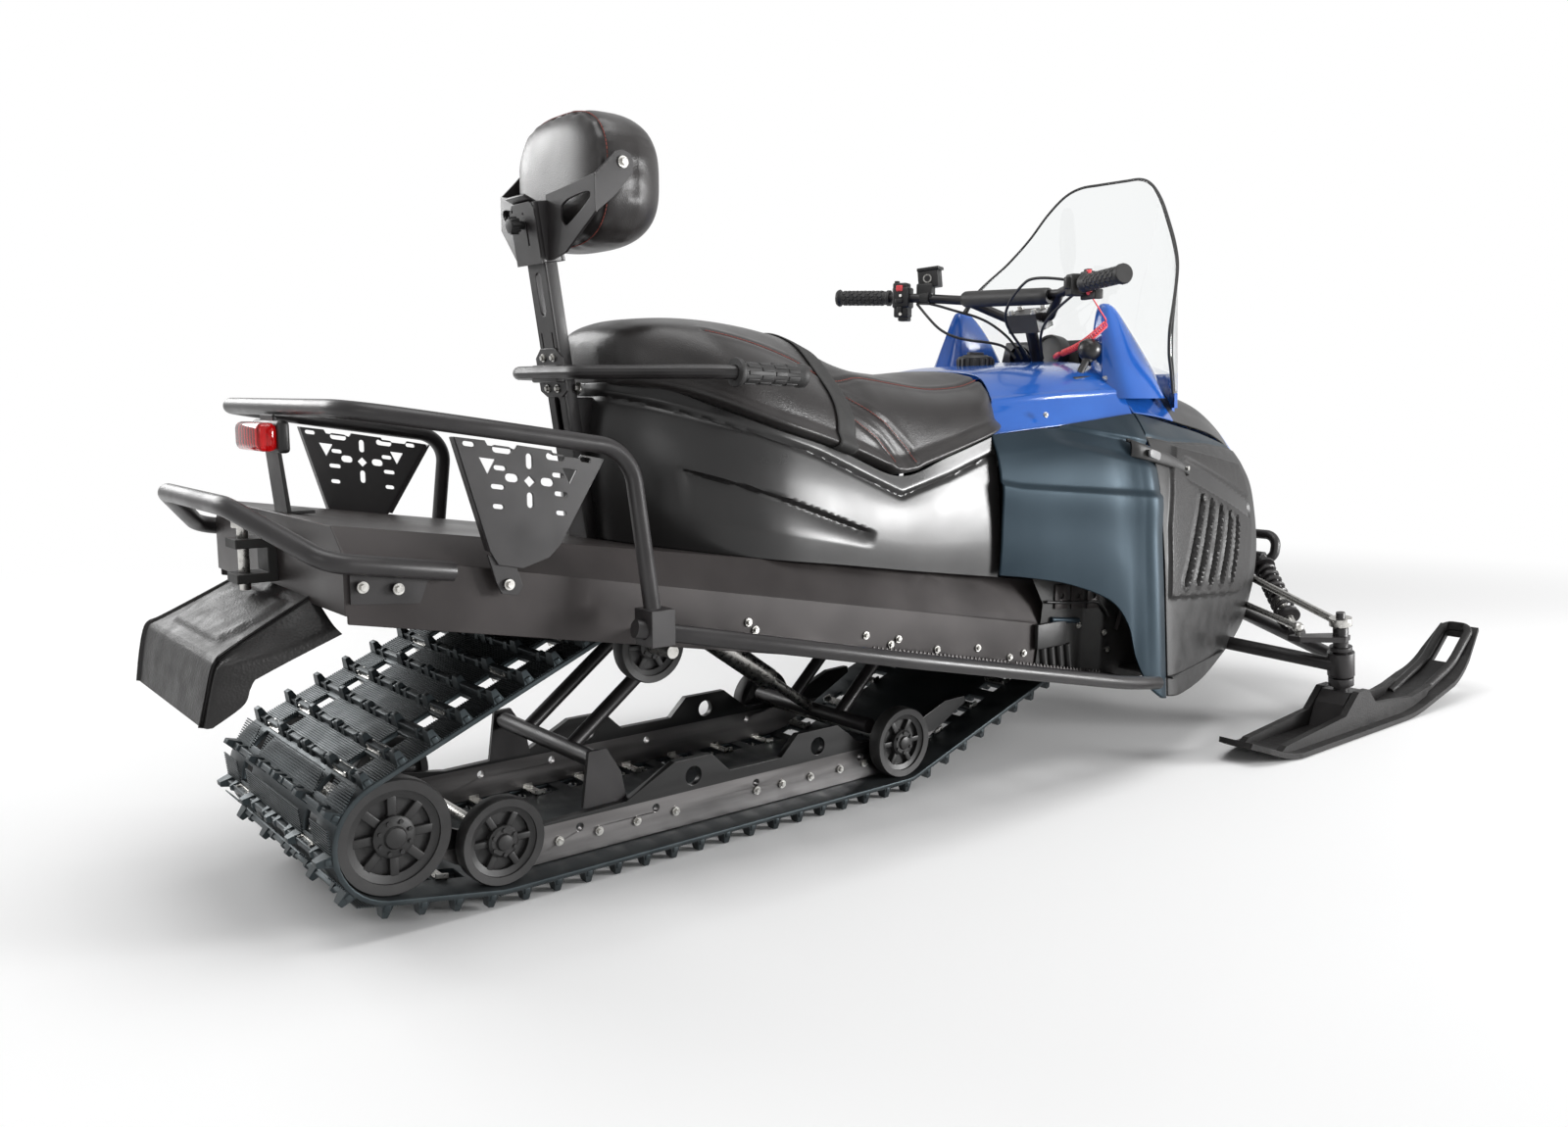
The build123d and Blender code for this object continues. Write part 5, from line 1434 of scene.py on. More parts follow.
def makeCarriage(p, c):
    draft = bmesh.new()
    deep, wide = c["size"]
    boreDeep, boreWide = c["bore"]
    middle = c["low"] + c["long"] / 2
    for side in (1, -1):
        addPostBlock(draft, p, side * (deep + boreDeep) / 4, 0, middle,
                     ((deep - boreDeep) / 2, wide, c["long"]), 0.002)
        addPostBlock(draft, p, 0, side * (wide + boreWide) / 4, middle,
                     (boreDeep + 0.004, (wide - boreWide) / 2, c["long"]), 0.002)
    part = bmesh.new()
    addPlate(part, c["face"], [slotRing(*slot) for slot in c["faceSlots"]], 0, 0.003, 0, 0.0006)
    join(draft, part, onPost(p, -deep / 2 - 0.0012), 0)
    tilt = Matrix.Rotation(-math.radians(p["lean"]) + 0.55, 4, "Y")
    fold = onPost(p, -0.020) @ Vector((0, 0, middle + 0.054))
    addBlock(draft, fold, (0.030, 0.066, 0.004), tilt, 0, 0.0012)
    knob = onPost(p, -deep / 2 - 0.002)
    ky, kz = c["knobAt"]
    root = knob @ Vector((ky, 0, kz))
    out = knob.to_3x3() @ Vector((0, 1, 0))
    addTurned(draft, c["knob"], root, root + out * c["knobLong"], 28, 1)
    for k in range(c["knobRibs"]):
        a = math.tau * k / c["knobRibs"]
        spot = knob @ Vector((ky + c["knobRibAt"] * math.cos(a), 0, kz + c["knobRibAt"] * math.sin(a)))
        addRod(draft, spot + out * 0.010, spot + out * 0.024, 0.0030, 10, 0.0026, 1)
    slope = Vector(c["wingRun"]).normalized()
    square = Vector((0, 0, 1)).cross(slope)
    stand = Matrix((slope, square, Vector((0, 0, 1)))).transposed().to_4x4()
    for side in (1, -1):
        wing = bmesh.new()
        part = bmesh.new()
        panel = [(y * c["wingStretch"], z) for y, z in c["panel"]]
        window = cutCorners([(y * c["wingStretch"], z) for y, z in c["window"]])
        addPlate(part, panel, [window], 0, c["thick"], 0, 0.0008)
        join(wing, part, Matrix.Translation(c["wingAt"]) @ stand, 0)
        hole = slotRing(*c["bolt"], 0.0132, 0.0132, 10)
        addPlate(wing, c["ear"], [hole], -c["earY"], c["thick"], 0, 0.0008)
        bmesh.ops.scale(wing, vec=(1, side, 1), verts=wing.verts)
        if side < 0:
            bmesh.ops.reverse_faces(wing, faces=wing.faces)
        join(draft, wing)
    keepPiece("backrestCarriage", draft, "backrest_carriage", ["powderSteel", "plainPlastic"],
              ["backrest_carriage"], 18)


makePost(postForm)
makeGrabBar(postForm, grabBar)
makeCarriage(postForm, carriage)
print("post, passenger bar and carriage made")

# snow flap: moulded hood over the track's tail with bevelled sides and a raised field
snowFlap = {
    "rows": [  # lip, side, bevel and middle of the right half, from the tunnel down to the lower edge
        [(-0.050, -0.202, 0.450), (-0.062, -0.199, 0.466), (-0.071, -0.162, 0.498), (-0.074, -0.150, 0.502),
         (-0.076, -0.050, 0.503)],
        [(-0.118, -0.203, 0.424), (-0.130, -0.200, 0.441), (-0.138, -0.168, 0.465), (-0.140, -0.156, 0.468),
         (-0.140, -0.050, 0.469)],
        [(-0.164, -0.203, 0.405), (-0.192, -0.203, 0.429), (-0.199, -0.178, 0.436), (-0.200, -0.166, 0.438),
         (-0.200, -0.050, 0.439)],
        [(-0.172, -0.203, 0.401), (-0.210, -0.203, 0.423), (-0.213, -0.186, 0.429), (-0.214, -0.176, 0.430),
         (-0.214, -0.050, 0.430)],
        [(-0.178, -0.202, 0.390), (-0.217, -0.202, 0.412), (-0.220, -0.188, 0.416), (-0.221, -0.178, 0.417),
         (-0.221, -0.050, 0.417)],
        [(-0.188, -0.200, 0.368), (-0.225, -0.199, 0.381), (-0.228, -0.186, 0.382), (-0.229, -0.176, 0.382),
         (-0.229, -0.050, 0.382)],
        [(-0.226, -0.190, 0.341), (-0.233, -0.188, 0.341), (-0.236, -0.178, 0.341), (-0.237, -0.168, 0.341),
         (-0.237, -0.050, 0.341)],
    ],
    "raise": 0.006, "field": (-0.194, -0.100, 0.128), "steps": (100, 110),
}


def flapRelief(p):
    f = snowFlap
    inside = min(p.x - f["field"][0], f["field"][1] - p.x, f["field"][2] - abs(p.y) - 0.25 * abs(p.x + 0.14))
    return f["raise"] * step(-0.005, 0.006, inside)


def makeSnowFlap(f):
    net = [row + [(x, -y, z) for x, y, z in reversed(row)] for row in f["rows"]]
    draft = bmesh.new()
    addSheet(draft, net, f["steps"], (-0.4, 0, 1), flapRelief)
    keepPiece("snowFlap", draft, "chassis", ["grainPlastic"], ["snow_flap"], 50,
              [wallOf(0.005)])


makeSnowFlap(snowFlap)
print("snow flap made")

# bar grips, with a pattern of hexagons, and the bar's controls
barGrip = {
    "ends": [((1.444, 0.420, 1.0201), (1.504, 0.299, 1.0161)),
             ((1.444, -0.420, 1.0201), (1.517, -0.272, 1.0153))],
    "radius": 0.0166, "flange": 0.0205, "ring": 0.0190, "cell": 0.0066,
}
barControls = {
    "barReach": (-0.089, 0.180), "clusterAt": (1.5180, 0.2700, 1.0155), "buttons": (-0.040, 0.004),
    "cluster": [
        ((0, 0, 0), (0.042, 0.044, 0.050), 0, 0.005),
        ((-0.004, 0, 0.026), (0.036, 0.034, 0.018), 0, 0.004),
        ((0, 0, -0.032), (0.036, 0.036, 0.030), 0, 0.004),
        ((0.002, -0.004, -0.050), (0.026, 0.026, 0.012), 0, 0.003),
        ((-0.016, -0.006, 0.022), (0.016, 0.016, 0.014), 1, 0.002),
        ((-0.020, -0.008, -0.008), (0.018, 0.014, 0.010), 0, 0.002),
        ((-0.018, -0.008, -0.030), (0.012, 0.014, 0.016), 0, 0.002),
        ((-0.014, 0.006, 0.036), (0.010, 0.014, 0.008), 0, 0.002)],
    "reservoirAt": (1.5640, 0.2240, 1.0600), "reservoirTilt": 0.10,
    "reservoir": [((0, 0, 0), (0.050, 0.040, 0.042), 0, 0.003),
                  ((0, 0, 0.023), (0.055, 0.045, 0.008), 0, 0.002)],
    "bracket": [((1.5500, 0.2240, 1.0300), (0.040, 0.030, 0.036), 0, 0.004)],
    "clamp": ((1.5420, 0.2400, 1.0150), (1.5510, 0.2080, 1.0130)),
    "lever": [(1.560, 0.262, 1.020), (1.566, 0.290, 1.021), (1.545, 0.340, 1.022), (1.506, 0.404, 1.022)],
    "throttleAt": (1.5320, -0.2420, 1.0142),
    "throttle": [
        ((0, 0, 0), (0.034, 0.044, 0.046), 0, 0.005),
        ((-0.014, 0.004, 0.004), (0.014, 0.034, 0.026), 0, 0.003),
        ((0.010, -0.018, 0.021), (0.034, 0.020, 0.014), 0, 0.003),
        ((0.010, -0.018, 0.029), (0.018, 0.012, 0.008), 0, 0.002),
        ((0.000, -0.028, 0.026), (0.009, 0.009, 0.009), 1, 0.002),
        ((0.004, -0.030, -0.024), (0.066, 0.014, 0.014), 0, 0.003),
        ((-0.006, -0.056, -0.022), (0.016, 0.020, 0.020), 0, 0.003)],
}
barPad = {
    "ends": ((1.590, -0.122, 1.001), (1.590, 0.134, 1.008)),
    "profile": [(0.009, 0.0), (0.016, 0.0), (0.0186, 0.02), (0.0192, 0.06), (0.0192, 0.94), (0.0186, 0.98),
                (0.016, 1.0), (0.009, 1.0)],
    "boltX": (-0.018, 0.018), "boltY": (-0.034, 0.034), "boltAxis": (-0.342, 0, 0.94),
}


def makeGrips(g):
    draft = bmesh.new()
    r = g["radius"]
    for start, end in g["ends"]:
        reach, length = along(start, end)
        addTurned(draft, [(0.0, -0.03), (g["flange"] * 0.86, -0.03), (g["flange"], 0.0), (g["flange"], 0.03),
                          (r, 0.06), (r, 0.93), (g["ring"], 0.95), (g["ring"], 1.0), (0.0112, 1.0)], start,
                          end, 36)
        rows = round(length * 0.82 / (g["cell"] * 1.75))
        for row in range(rows):
            for k in range(8):
                a = math.tau * (k + 0.5 * (row % 2)) / 8
                out = reach.to_3x3() @ Vector((math.cos(a), math.sin(a), 0))
                share = 0.13 + 0.78 * row / rows
                spot = reach @ Vector((math.cos(a) * r, math.sin(a) * r, length * share)) - out * 0.0014
                addRod(draft, spot, spot + out * 0.0026, g["cell"], 6, g["cell"] * 0.82)
        for a in range(12):
            turn = Matrix.Rotation(math.tau * a / 12, 4, "Z")
            spot = reach @ (turn @ Vector((g["flange"] * 0.98, 0, length * 0.015)))
            addBall(draft, spot, 0.0012)
    keepPiece("barGrips", draft, "steering", ["softRubber"], ["bar_grips"], 40)


def makeControls(c):
    draft = bmesh.new()
    x, y = c["barReach"]
    leftTurn = Matrix.Rotation(math.atan2(y, x), 4, "Z")  # along the left bar end
    rightTurn = Matrix.Rotation(math.atan2(-y, x), 4, "Z")
    cluster = Vector(c["clusterAt"])
    addBlocks(draft, cluster, c["cluster"], leftTurn)
    for z in c["buttons"]:
        spot = cluster + Vector((-0.022, -0.014, z))
        addRod(draft, spot, spot + Vector((-0.004, -0.003, 0)), 0.0036, 12, mat=2)
    reservoir = Vector(c["reservoirAt"])
    tilt = leftTurn @ Matrix.Rotation(c["reservoirTilt"], 4, "Y")
    addBlocks(draft, reservoir, c["reservoir"], tilt)
    lens = leftTurn.to_3x3() @ Vector((0, 1, 0))
    lens = lens if lens.x < 0 else -lens
    addRod(draft, reservoir + lens * 0.018, reservoir + lens * 0.0225, 0.0105, 24, mat=2)
    addRod(draft, reservoir + lens * 0.0215, reservoir + lens * 0.0232, 0.0075, 24)
    addBlocks(draft, Vector(), c["bracket"], leftTurn)
    addRod(draft, *c["clamp"], 0.0165, 24)
    addPipe(draft, c["lever"], 0.0050)
    addBall(draft, c["lever"][-1], 0.0075)
    addBlocks(draft, Vector(c["throttleAt"]), c["throttle"], rightTurn)
    keepPiece("barControls", draft, "steering", ["plainPlastic", "redCord", "zincSteel"],
              ["bar_controls"], 35)


def makeBarPad(b):
    draft = bmesh.new()
    addTurned(draft, b["profile"], *b["ends"], 40)
    keepPiece("barPad", draft, "steering", ["softRubber"], ["bar_pad"], 40)
    draft = bmesh.new()
    axis = Vector(b["boltAxis"])
    for y in b["boltY"]:
        for x in b["boltX"]:
            spot = Vector((1.668 - 0.0075 + x * 0.94, y, 0.9755 + x * 0.34))
            addRod(draft, spot, spot + axis * 0.009, 0.0068, 16, 0.0062)
            addRod(draft, spot, spot + axis * 0.002, 0.0095, 20)
    keepPiece("barClampBolts", draft, "steering", ["zincSteel"], sharp=30)


makeGrips(barGrip)
makeControls(barControls)
makeBarPad(barPad)
print("grips, controls and bar pad made")

# cables from the controls to the column, and the red coiled tether of the stop switch
cableRoutes = {
    "switchCable": [(1.532, 0.236, 1.006), (1.553, 0.203, 0.999), (1.585, 0.160, 0.982),
                    (1.625, 0.110, 0.964), (1.650, 0.072, 0.935), (1.671, 0.044, 0.901),
                    (1.682, 0.030, 0.866)],
    "brakeHose": [(1.533, 0.236, 1.000), (1.531, 0.199, 0.967), (1.546, 0.165, 0.931), (1.580, 0.128, 0.912),
                  (1.634, 0.086, 0.906), (1.661, 0.056, 0.894), (1.668, 0.040, 0.868)],
    "throttleCable": [(1.520, -0.232, 1.024), (1.500, -0.150, 1.040), (1.514, -0.095, 1.016),
                      (1.532, -0.049, 0.982), (1.561, -0.016, 0.952), (1.606, -0.006, 0.915),
                      (1.656, -0.014, 0.868)],
    "heaterCable": [(1.540, -0.226, 0.996), (1.567, -0.150, 0.965), (1.600, -0.096, 0.936),
                    (1.639, -0.056, 0.904), (1.672, -0.040, 0.866)],
}
tether = {
    "thin": [(1.526, -0.276, 0.998), (1.548, -0.276, 0.978), (1.578, -0.274, 0.954), (1.600, -0.270, 0.940)],
    "coilStart": (1.606, -0.262, 0.934), "coilEnd": (1.642, -0.120, 0.876), "turns": 24, "around": 8,
    "coilRadius": 0.0066, "wire": 0.0017,
    "sag": 0.008, "plugEnds": ((1.522, -0.277, 1.006), (1.530, -0.275, 0.992)),
    "plug": [(0.0, 0.0), (0.0062, 0.0), (0.0070, 0.3), (0.0050, 0.9), (0.0, 1.0)],
    "clip": [(0.0, 0.0), (0.0040, 0.0), (0.0064, 0.3), (0.0064, 0.8), (0.0, 1.0)],
}


def coilPoints(start, end, radius, turns, around, sag=0.0):
    place, length = along(start, end)
    steps = turns * around
    points = []
    for k in range(steps + 1):
        a = math.tau * k / around
        spot = place @ Vector((radius * math.cos(a), radius * math.sin(a), length * k / steps))
        points.append(spot - Vector((0, 0, sag * math.sin(math.pi * k / steps))))
    return points


def makeCables(routes, t):
    for name, route in routes.items():
        keepCord(name, route, 0.0032, "steering", "softRubber")
    coil = coilPoints(t["coilStart"], t["coilEnd"], t["coilRadius"], t["turns"], t["around"], t["sag"])
    points = [Vector(p) for p in t["thin"]] + coil
    keepCord("stopTether", points, t["wire"], "chassis", "redCord")
    draft = bmesh.new()
    addTurned(draft, t["plug"], *t["plugEnds"], 20)
    end = points[-1]
    addTurned(draft, t["clip"], end, end + Vector((0.008, 0.022, -0.010)), 20)
    keepPiece("tetherEnds", draft, "chassis", ["redCord"], sharp=60)


makeCables(cableRoutes, tether)
print("cables and tether made")

# dash: two smooth fins beside the column and a dark panel with two round pods between them
dashFins = {
    "levels": [  # height, then ring from the rear inside corner round the outside to the front and back
        (0.775, [(1.606, -0.262), (1.650, -0.311), (1.772, -0.305), (1.850, -0.226), (1.812, -0.186),
                 (1.650, -0.200)]),
        (0.830, [(1.612, -0.254), (1.650, -0.290), (1.756, -0.286), (1.822, -0.220), (1.790, -0.186),
                 (1.648, -0.198)]),
        (0.880, [(1.622, -0.244), (1.652, -0.268), (1.734, -0.266), (1.788, -0.216), (1.760, -0.188),
                 (1.648, -0.197)]),
        (0.930, [(1.634, -0.232), (1.655, -0.247), (1.708, -0.246), (1.746, -0.213), (1.726, -0.192),
                 (1.649, -0.199)]),
        (0.968, [(1.645, -0.223), (1.658, -0.232), (1.686, -0.231), (1.706, -0.213), (1.694, -0.199),
                 (1.652, -0.203)]),
        (0.981, [(1.652, -0.218), (1.660, -0.222), (1.674, -0.222), (1.684, -0.214), (1.676, -0.206),
                 (1.658, -0.208)]),
        (0.983, [(1.667, -0.214)] * 6),
    ],
    "steps": (60, 72), "panel": (1.786, 0.840), "panelSize": (0.012, 0.372, 0.150), "panelLean": 0.30,
}


def makeDash(d):
    net = []
    for z, ring in d["levels"]:
        net.append([(x, y, z) for x, y in ring + ring[:1]])
    draft = bmesh.new()
    addSheet(draft, net, d["steps"], (0, -1, 0), weld=True)
    bmesh.ops.recalc_face_normals(draft, faces=draft.faces)
    keepPiece("dashFins", draft, "chassis", ["glossBlue"], ["dash_cowl"], 50, [leftToo])
    draft = bmesh.new()
    x, z = d["panel"]
    addBlock(draft, (x, 0, z), d["panelSize"], Matrix.Rotation(d["panelLean"], 4, "Y"), 0, 0.004)
    for y in (-0.105, 0.105):
        addTurned(draft, [(0.0, 0.0), (0.030, 0.0), (0.034, -0.4), (0.036, 1.0)], (x - 0.004, y, z + 0.030),
                  (x - 0.018, y, z + 0.026), 32)
        addTurned(draft, [(0.0, 0.0), (0.0285, 0.1)], (x - 0.012, y, z + 0.029), (x - 0.014, y, z + 0.028),
                  32, 1)
    keepPiece("dashPanel", draft, "chassis", ["plainPlastic", "satinCover"], sharp=35)


makeDash(dashFins)
print("dash made")

# console fittings: fuel cap, gauge, shift lever with ball knob
consoleFittings = {
    "cap": (1.484, 0.0, 0.846), "capRadius": 0.042, "gaugeFace": (1.742, 0, 0.884),
    "gaugeBack": (1.7716, 0, 0.880),
    "leverFoot": (1.570, -0.222, 0.812), "knob": (1.606, -0.222, 0.880),
}


def makeFittings(c):
    draft = bmesh.new()
    cap = Vector(c["cap"])
    r = c["capRadius"]
    addTurned(draft, [(0.0, 1.0), (r * 0.62, 1.0), (r * 0.70, 0.93), (r * 0.88, 0.90), (r * 0.94, 0.82),
                      (r * 0.94, 0.0)],
              cap - Vector((0, 0, 0.012)), cap + Vector((0, 0, 0.026)), 48)
    for k in range(18):
        turn = Matrix.Rotation(math.tau * k / 18, 4, "Z")
        addBlock(draft, cap + turn @ Vector((r * 0.94, 0, 0.004)), (0.007, 0.006, 0.026), turn, 0, 0.0015)
    addBlock(draft, cap + Vector((0, 0, 0.028)), (r * 1.1, 0.012, 0.008), None, 0, 0.002)
    keepPiece("fuelCap", draft, "chassis", ["plainPlastic"], ["fuel_cap"], 35)
    draft = bmesh.new()
    addTurned(draft, [(0.0, 0.02), (0.034, 0.02), (0.0345, -0.10), (0.040, -0.12), (0.042, 0.06),
                      (0.042, 1.0), (0.0, 1.0)],
              c["gaugeFace"], c["gaugeBack"], 48)
    addTurned(draft, [(0.0, -0.02), (0.0335, 0.0)], c["gaugeFace"], c["gaugeBack"], 48, 1)
    keepPiece("gauge", draft, "chassis", ["plainPlastic", "satinCover"], ["gauge"], 35)
    draft = bmesh.new()
    foot = Vector(c["leverFoot"])
    knob = Vector(c["knob"])
    addPipe(draft, [foot, foot + Vector((0.004, 0, 0.020)), foot.lerp(knob, 0.6) + Vector((0.004, 0, 0)),
                    knob], 0.0080)
    addTurned(draft, [(0.0, -1.0), (0.0110, -1.10), (0.0120, -0.92), (0.0175, -0.76), (0.0240, -0.34),
                      (0.0256, 0.06), (0.0236, 0.50), (0.0150, 0.86), (0.0, 1.0)], knob,
                      knob + Vector((0.007, 0, 0.0235)), 36, 1)
    addBlock(draft, foot + Vector((-0.004, 0, 0.006)), (0.072, 0.044, 0.010), Matrix.Rotation(-0.06, 4, "Y"),
             0, 0.004)
    keepPiece("shiftLever", draft, "chassis", ["softRubber", "satinCover"], ["shift_lever"],
              40)


makeFittings(consoleFittings)
print("console fittings made")

# lamps
lampForm = {
    "tail": (-0.085, 0.0, 0.724), "tailSize": (0.046, 0.124, 0.048),
    "head": (2.404, 0.0, 0.500), "headSize": (0.024, 0.240, 0.092),
}


def makeLamps(p):
    draft = bmesh.new()
    tail = Vector(p["tail"])
    sx, sy, sz = p["tailSize"]
    addBlock(draft, tail + Vector((0.014, 0, 0)), (sx * 0.40, sy, sz), None, 0, 0.006)
    addBlock(draft, tail + Vector((-0.008, 0, 0)), (sx * 0.64, sy - 0.006, sz - 0.006), None, 1, 0.010)
    for k in range(9):
        addBlock(draft, tail + Vector((0.002, (k - 4) * 0.012, 0)), (0.006, 0.004, 0.034), None, 2, 0.001)
    keepPiece("tailLamp", draft, "chassis", ["plainPlastic", "redLens", "redCord"], ["taillight"],
              35)
    draft = bmesh.new()
    head = Vector(p["head"])
    sx, sy, sz = p["headSize"]
    addBlock(draft, head + Vector((-0.006, 0, 0)), (sx * 0.5, sy, sz), None, 0, 0.004)
    addBlock(draft, head + Vector((0.004, 0, 0)), (sx * 0.6, sy - 0.012, sz - 0.012), None, 1, 0.006)
    for y in (-0.058, 0.058):
        addTurned(draft, [(0.0, 0.2), (0.018, 0.4), (0.034, 0.9), (0.036, 1.0)],
                  head + Vector((-0.004, y, 0)), head + Vector((0.010, y, 0)), 32, 2)
    keepPiece("headLamp", draft, "chassis", ["plainPlastic", "lampLens", "zincSteel"], ["headlight"],
              35)


makeLamps(lampForm)
print("lamps made")

# front shocks with their coil springs
shockForm = {
    "low": (2.253, -0.392, 0.190), "high": (2.392, -0.200, 0.352), "spring": (0.24, 0.86), "coil": 0.0235,
    "wire": 0.0048, "turns": 8, "around": 16, "collarReach": 0.04,
    "collar": [(0.012, 0.0), (0.030, 0.1), (0.030, 0.7), (0.012, 1.0)],
}


def makeShocks(s):
    draft = bmesh.new()
    low = Vector(s["low"])
    high = Vector(s["high"])
    first = low.lerp(high, s["spring"][0])
    last = low.lerp(high, s["spring"][1])
    addRod(draft, low, low.lerp(high, 0.5), 0.012, 20, mat=1)
    addRod(draft, low.lerp(high, 0.45), high, 0.017, 24)
    addTurned(draft, s["collar"], first, low.lerp(high, s["spring"][0] - s["collarReach"]), 32)
    addTurned(draft, s["collar"], last, low.lerp(high, s["spring"][1] + s["collarReach"]), 32)
    addPipe(draft, coilPoints(first, last, s["coil"], s["turns"], s["around"]), s["wire"], "POLY", 2)
    for end in (low, high):
        addRod(draft, end - Vector((0, 0.014, 0)), end + Vector((0, 0.014, 0)), 0.017, 24)
    addRod(draft, (2.392, -0.150, 0.352), (2.392, -0.216, 0.352), 0.0085, 16, mat=1)
    keepPiece("frontShocks", draft, "chassis", ["powderSteel", "zincSteel"], ["front_shocks"],
              40, [leftToo])


makeShocks(shockForm)
print("front shocks made")

# nose latches: rubber straps from the side covers to the nose, with a grey plate on each
latchForm = {
    "path": [(1.570, 0.362, 0.672), (1.589, 0.373, 0.666), (1.625, 0.380, 0.657), (1.683, 0.376, 0.645),
             (1.728, 0.371, 0.634), (1.767, 0.368, 0.622), (1.782, 0.366, 0.614)],
    "wide": (0.020, 0.010), "plateAt": (1.625, 0.386, 0.657), "hookAt": (1.767, 0.372, 0.622),
}


def makeLatch(s):
    draft = bmesh.new()
    net = []
    for k, (x, y, z) in enumerate(s["path"]):
        half = s["wide"][0] + (s["wide"][1] - s["wide"][0]) * k / (len(s["path"]) - 1)
        net.append([(x, -y + 0.006, z - half), (x, -y - 0.003, z - half * 0.86), (x, -y - 0.005, z),
                    (x, -y - 0.001, z + half * 0.86), (x, -y + 0.010, z + half)])
    addSheet(draft, net, (60, 20), (0, -1, 0))
    keepPiece("noseLatches", draft, "chassis", ["plainPlastic"], sharp=50,
              modifiers=[leftToo, wallOf(0.007)])
    draft = bmesh.new()
    spot = Vector(s["plateAt"]) * Vector((1, -1, 1))
    turn = Matrix.Rotation(0.16, 4, "Z") @ Matrix.Rotation(0.22, 4, "Y")
    part = bmesh.new()
    addPlate(part, slotRing(0, 0, 0.050, 0.0155, 9), [], 0, 0.005, 0, 0.0008)
    join(draft, part, Matrix.Translation(spot) @ turn, 0)
    hook = Vector(s["hookAt"]) * Vector((1, -1, 1))
    addRod(draft, hook, hook + Vector((0.001, -0.006, 0)), 0.0050, 20, mat=1)
    keepPiece("latchPlates", draft, "chassis", ["greyPlate", "zincSteel"], sharp=35,
              modifiers=[leftToo])


makeLatch(latchForm)
print("nose latches made")

# bolts seen from outside: place, outward direction, head radius
chassisBolts = [
    ((-0.058, -0.310, 0.531), (0, -1, 0), 0.0052), ((-0.009, -0.310, 0.524), (0, -1, 0), 0.0052),
    ((0.149, -0.323, 0.516), (0, -1, 0), 0.0052), ((0.372, -0.398, 0.440), (0, -1, 0), 0.0052),
    ((0.437, -0.031, 0.795), (-1, 0, 0.15), 0.0070), ((0.437, 0.031, 0.795), (-1, 0, 0.15), 0.0070),
    ((1.380, -0.288, 0.742), (0, -1, 0.25), 0.0038), ((1.610, -0.262, 0.818), (0, -0.8, 0.6), 0.0038),
]
railBolts = {"y": 0.1925, "z": 0.062, "xs": (0.290, 0.365, 0.440, 0.520, 0.700, 0.760, 0.830, 0.905, 0.970)}


def makeBolts():
    draft = bmesh.new()
    for place, axis, radius in chassisBolts:
        addBolt(draft, place, axis, radius)
    for x in railBolts["xs"]:
        addBolt(draft, (x, -railBolts["y"], railBolts["z"]), (0, -1, 0), 0.0050)
    keepPiece("bolts", draft, "chassis", ["zincSteel"], sharp=30, modifiers=[leftToo])
    draft = bmesh.new()
    for side in (-1, 1):
        addBolt(draft, (0.452, side * 0.1640, 1.157), (0, side, 0), 0.0062)
    keepPiece("padBolts", draft, "backrest_pad", ["zincSteel"], sharp=30)


makeBolts()
print("bolts made")

# toe wells: dark wall behind the boards' front ends with brackets, a box, a hose and bolts in low relief
toeWell = {
    "y": 0.3016, "wall": [(1.331, 0.418), (1.372, 0.352), (1.352, 0.215), (1.600, 0.150), (1.780, 0.146),
                          (1.780, 0.400), (1.560, 0.410)],
    "floor": [(1.440, 0.206), (1.600, 0.172), (1.620, 0.168)], "brackets": (1.407, 1.462, 1.516),
    "bracketZ": (0.338, 0.388),
    "hose": [(1.376, 0.356), (1.440, 0.347), (1.520, 0.342), (1.566, 0.334), (1.592, 0.300)],
    "box": (1.348, 1.442, 0.258, 0.311),
    "cylinder": ((1.396, 0.316), (1.486, 0.304)), "ribs": (1.372, 1.398, 1.424, 1.452),
    "bolts": [(1.581, 0.266), (1.595, 0.226), (1.490, 0.293)], "strap": ((1.644, 0.318), (1.622, 0.268)),
}


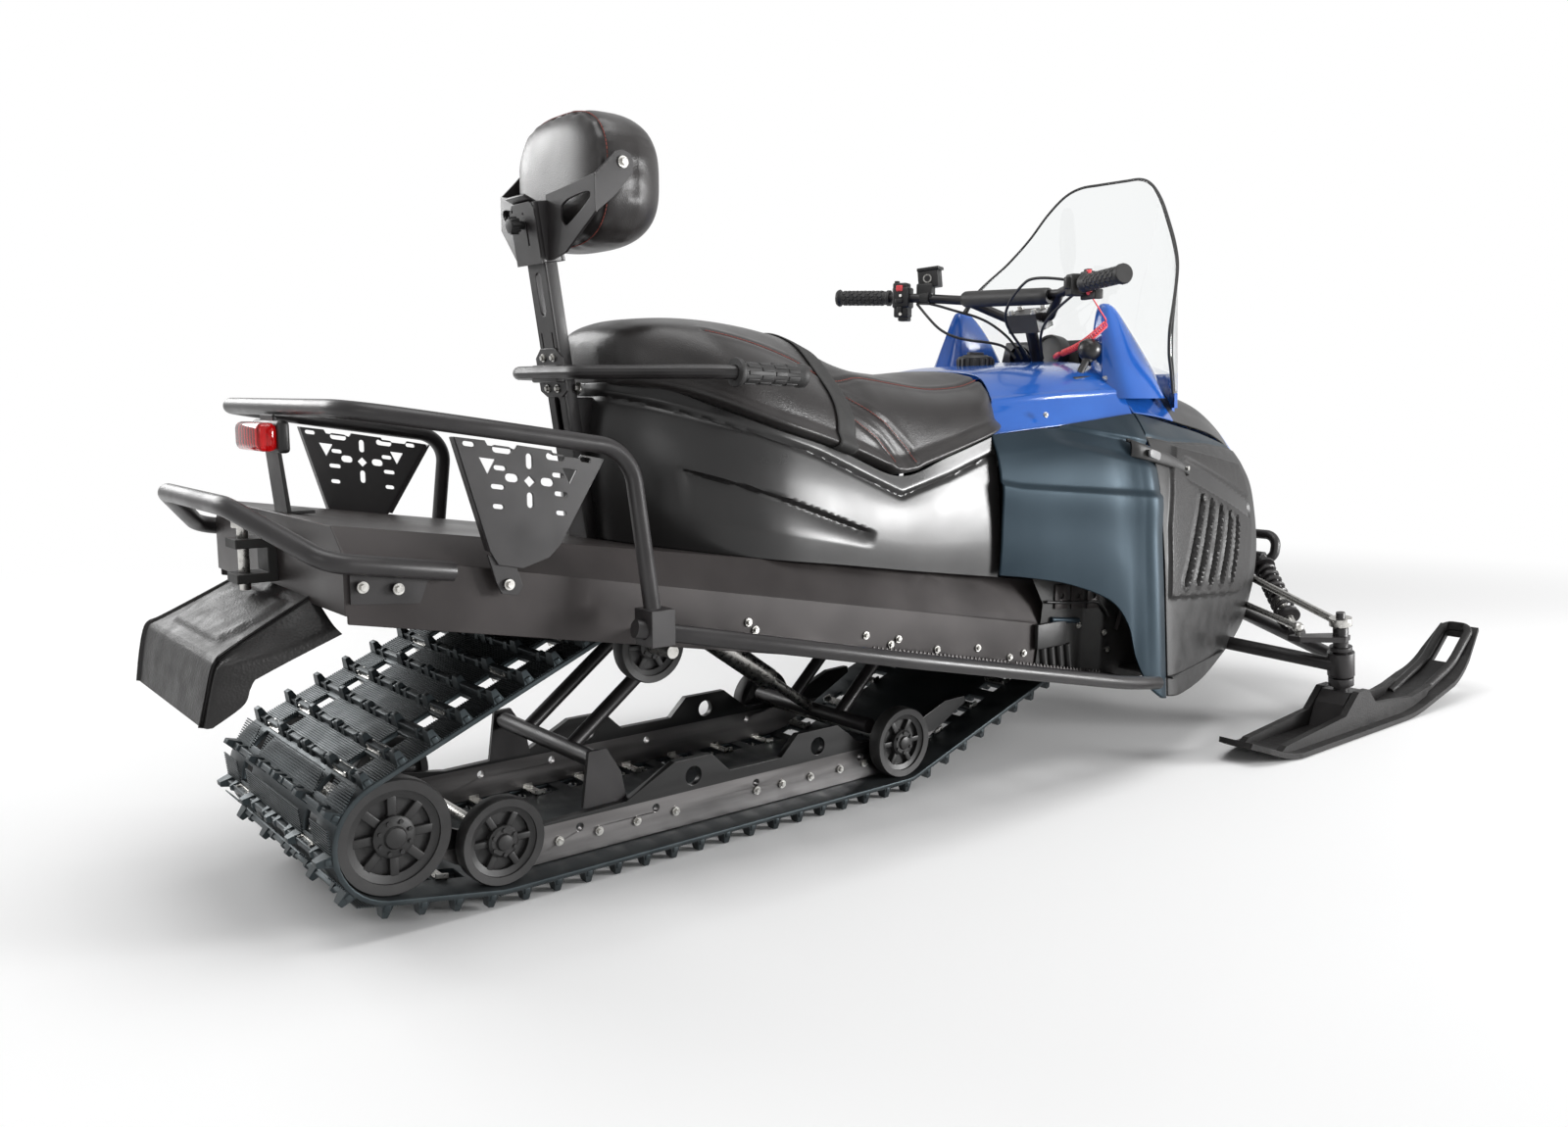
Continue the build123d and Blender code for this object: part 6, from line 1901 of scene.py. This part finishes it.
def makeToeWells(t):
    draft = bmesh.new()
    y = -t["y"]
    addPlate(draft, t["wall"], [], y, 0.002)
    for x in t["brackets"]:
        low, high = t["bracketZ"]
        low -= 0.10 * (x - 1.407)
        high -= 0.10 * (x - 1.407)
        ring = [(x, low), (x + 0.040, low - 0.003), (x + 0.040, high - 0.003), (x, high)]
        addPlate(draft, ring, [slotRing(x + 0.022, (low + high) / 2, 0.016, 0.012)], y - 0.004, 0.003, 1)
    addPipe(draft, [(x, y - 0.006, z) for x, z in t["hose"]], 0.0034, mat=2)
    x0, x1, z0, z1 = t["box"]
    addBlock(draft, ((x0 + x1) / 2, y - 0.0042, (z0 + z1) / 2), (x1 - x0, 0.010, z1 - z0), None, 2, 0.002)
    (cx0, cz0), (cx1, cz1) = t["cylinder"]
    addRod(draft, (cx0, y - 0.004, cz0), (cx1, y - 0.004, cz1), 0.0060, 20, mat=3)
    for x in t["ribs"]:
        addRod(draft, (x, y - 0.002, 0.258), (x + 0.010, y - 0.002, 0.196), 0.0080, 16, mat=2)
    (sx0, sz0), (sx1, sz1) = t["strap"]
    addRod(draft, (sx0, y - 0.004, sz0), (sx1, y - 0.004, sz1), 0.0055, 4, mat=1)
    for x, z in t["bolts"]:
        addBolt(draft, (x, y - 0.002, z), (0, -1, 0), 0.0046, 4)
    net = [[(x, -0.294, z), (x, -0.350, z - 0.001), (x, -0.418, z - 0.002)] for x, z in t["floor"]]
    addSheet(draft, net, (12, 8), (0, 0, 1))
    keepPiece("toeWells", draft, "chassis", ["darkIron", "coatedSheet", "plainPlastic",
                                                            "slateCover", "zincSteel"], sharp=40,
              modifiers=[leftToo])


makeToeWells(toeWell)

# saw-tooth grip strips along the boards, and the bolts beside them
boardGrip = {
    "runs": [(0.42, 0.62), (0.87, 1.25), (1.27, 1.56)], "y": 0.318, "tooth": 0.011, "height": 0.008,
    "level": (0.350, 0.430, 0.2085), "bolts": [0.60, 0.615, 0.872, 0.935, 0.955, 1.060, 1.177, 1.274, 1.318],
}


def makeBoardGrip(g):
    draft = bmesh.new()
    x0, z0, slope = g["level"]

    def level(x):
        return z0 - (x - x0) * slope

    for start, end in g["runs"]:
        count = round((end - start) / g["tooth"])
        ring = [(end, level(end) - 0.002), (start, level(start) - 0.002)]
        for k in range(count):
            x = start + g["tooth"] * k
            ring.append((x, level(x) + 0.001))
            ring.append((x + g["tooth"] * 0.25, level(x) + g["height"]))
        addPlate(draft, ring, [], -g["y"], 0.003, edge=0.0003)
    for k, x in enumerate(g["bolts"]):
        addBolt(draft, (x, -0.2985, level(x) + (0.014 if k % 2 else 0.026)), (0, -1, 0), 0.0048, 1)
    keepPiece("boardGrips", draft, "chassis", ["coatedSheet", "zincSteel"], sharp=30,
              modifiers=[leftToo])


makeBoardGrip(boardGrip)
print("toe wells and board grips made")
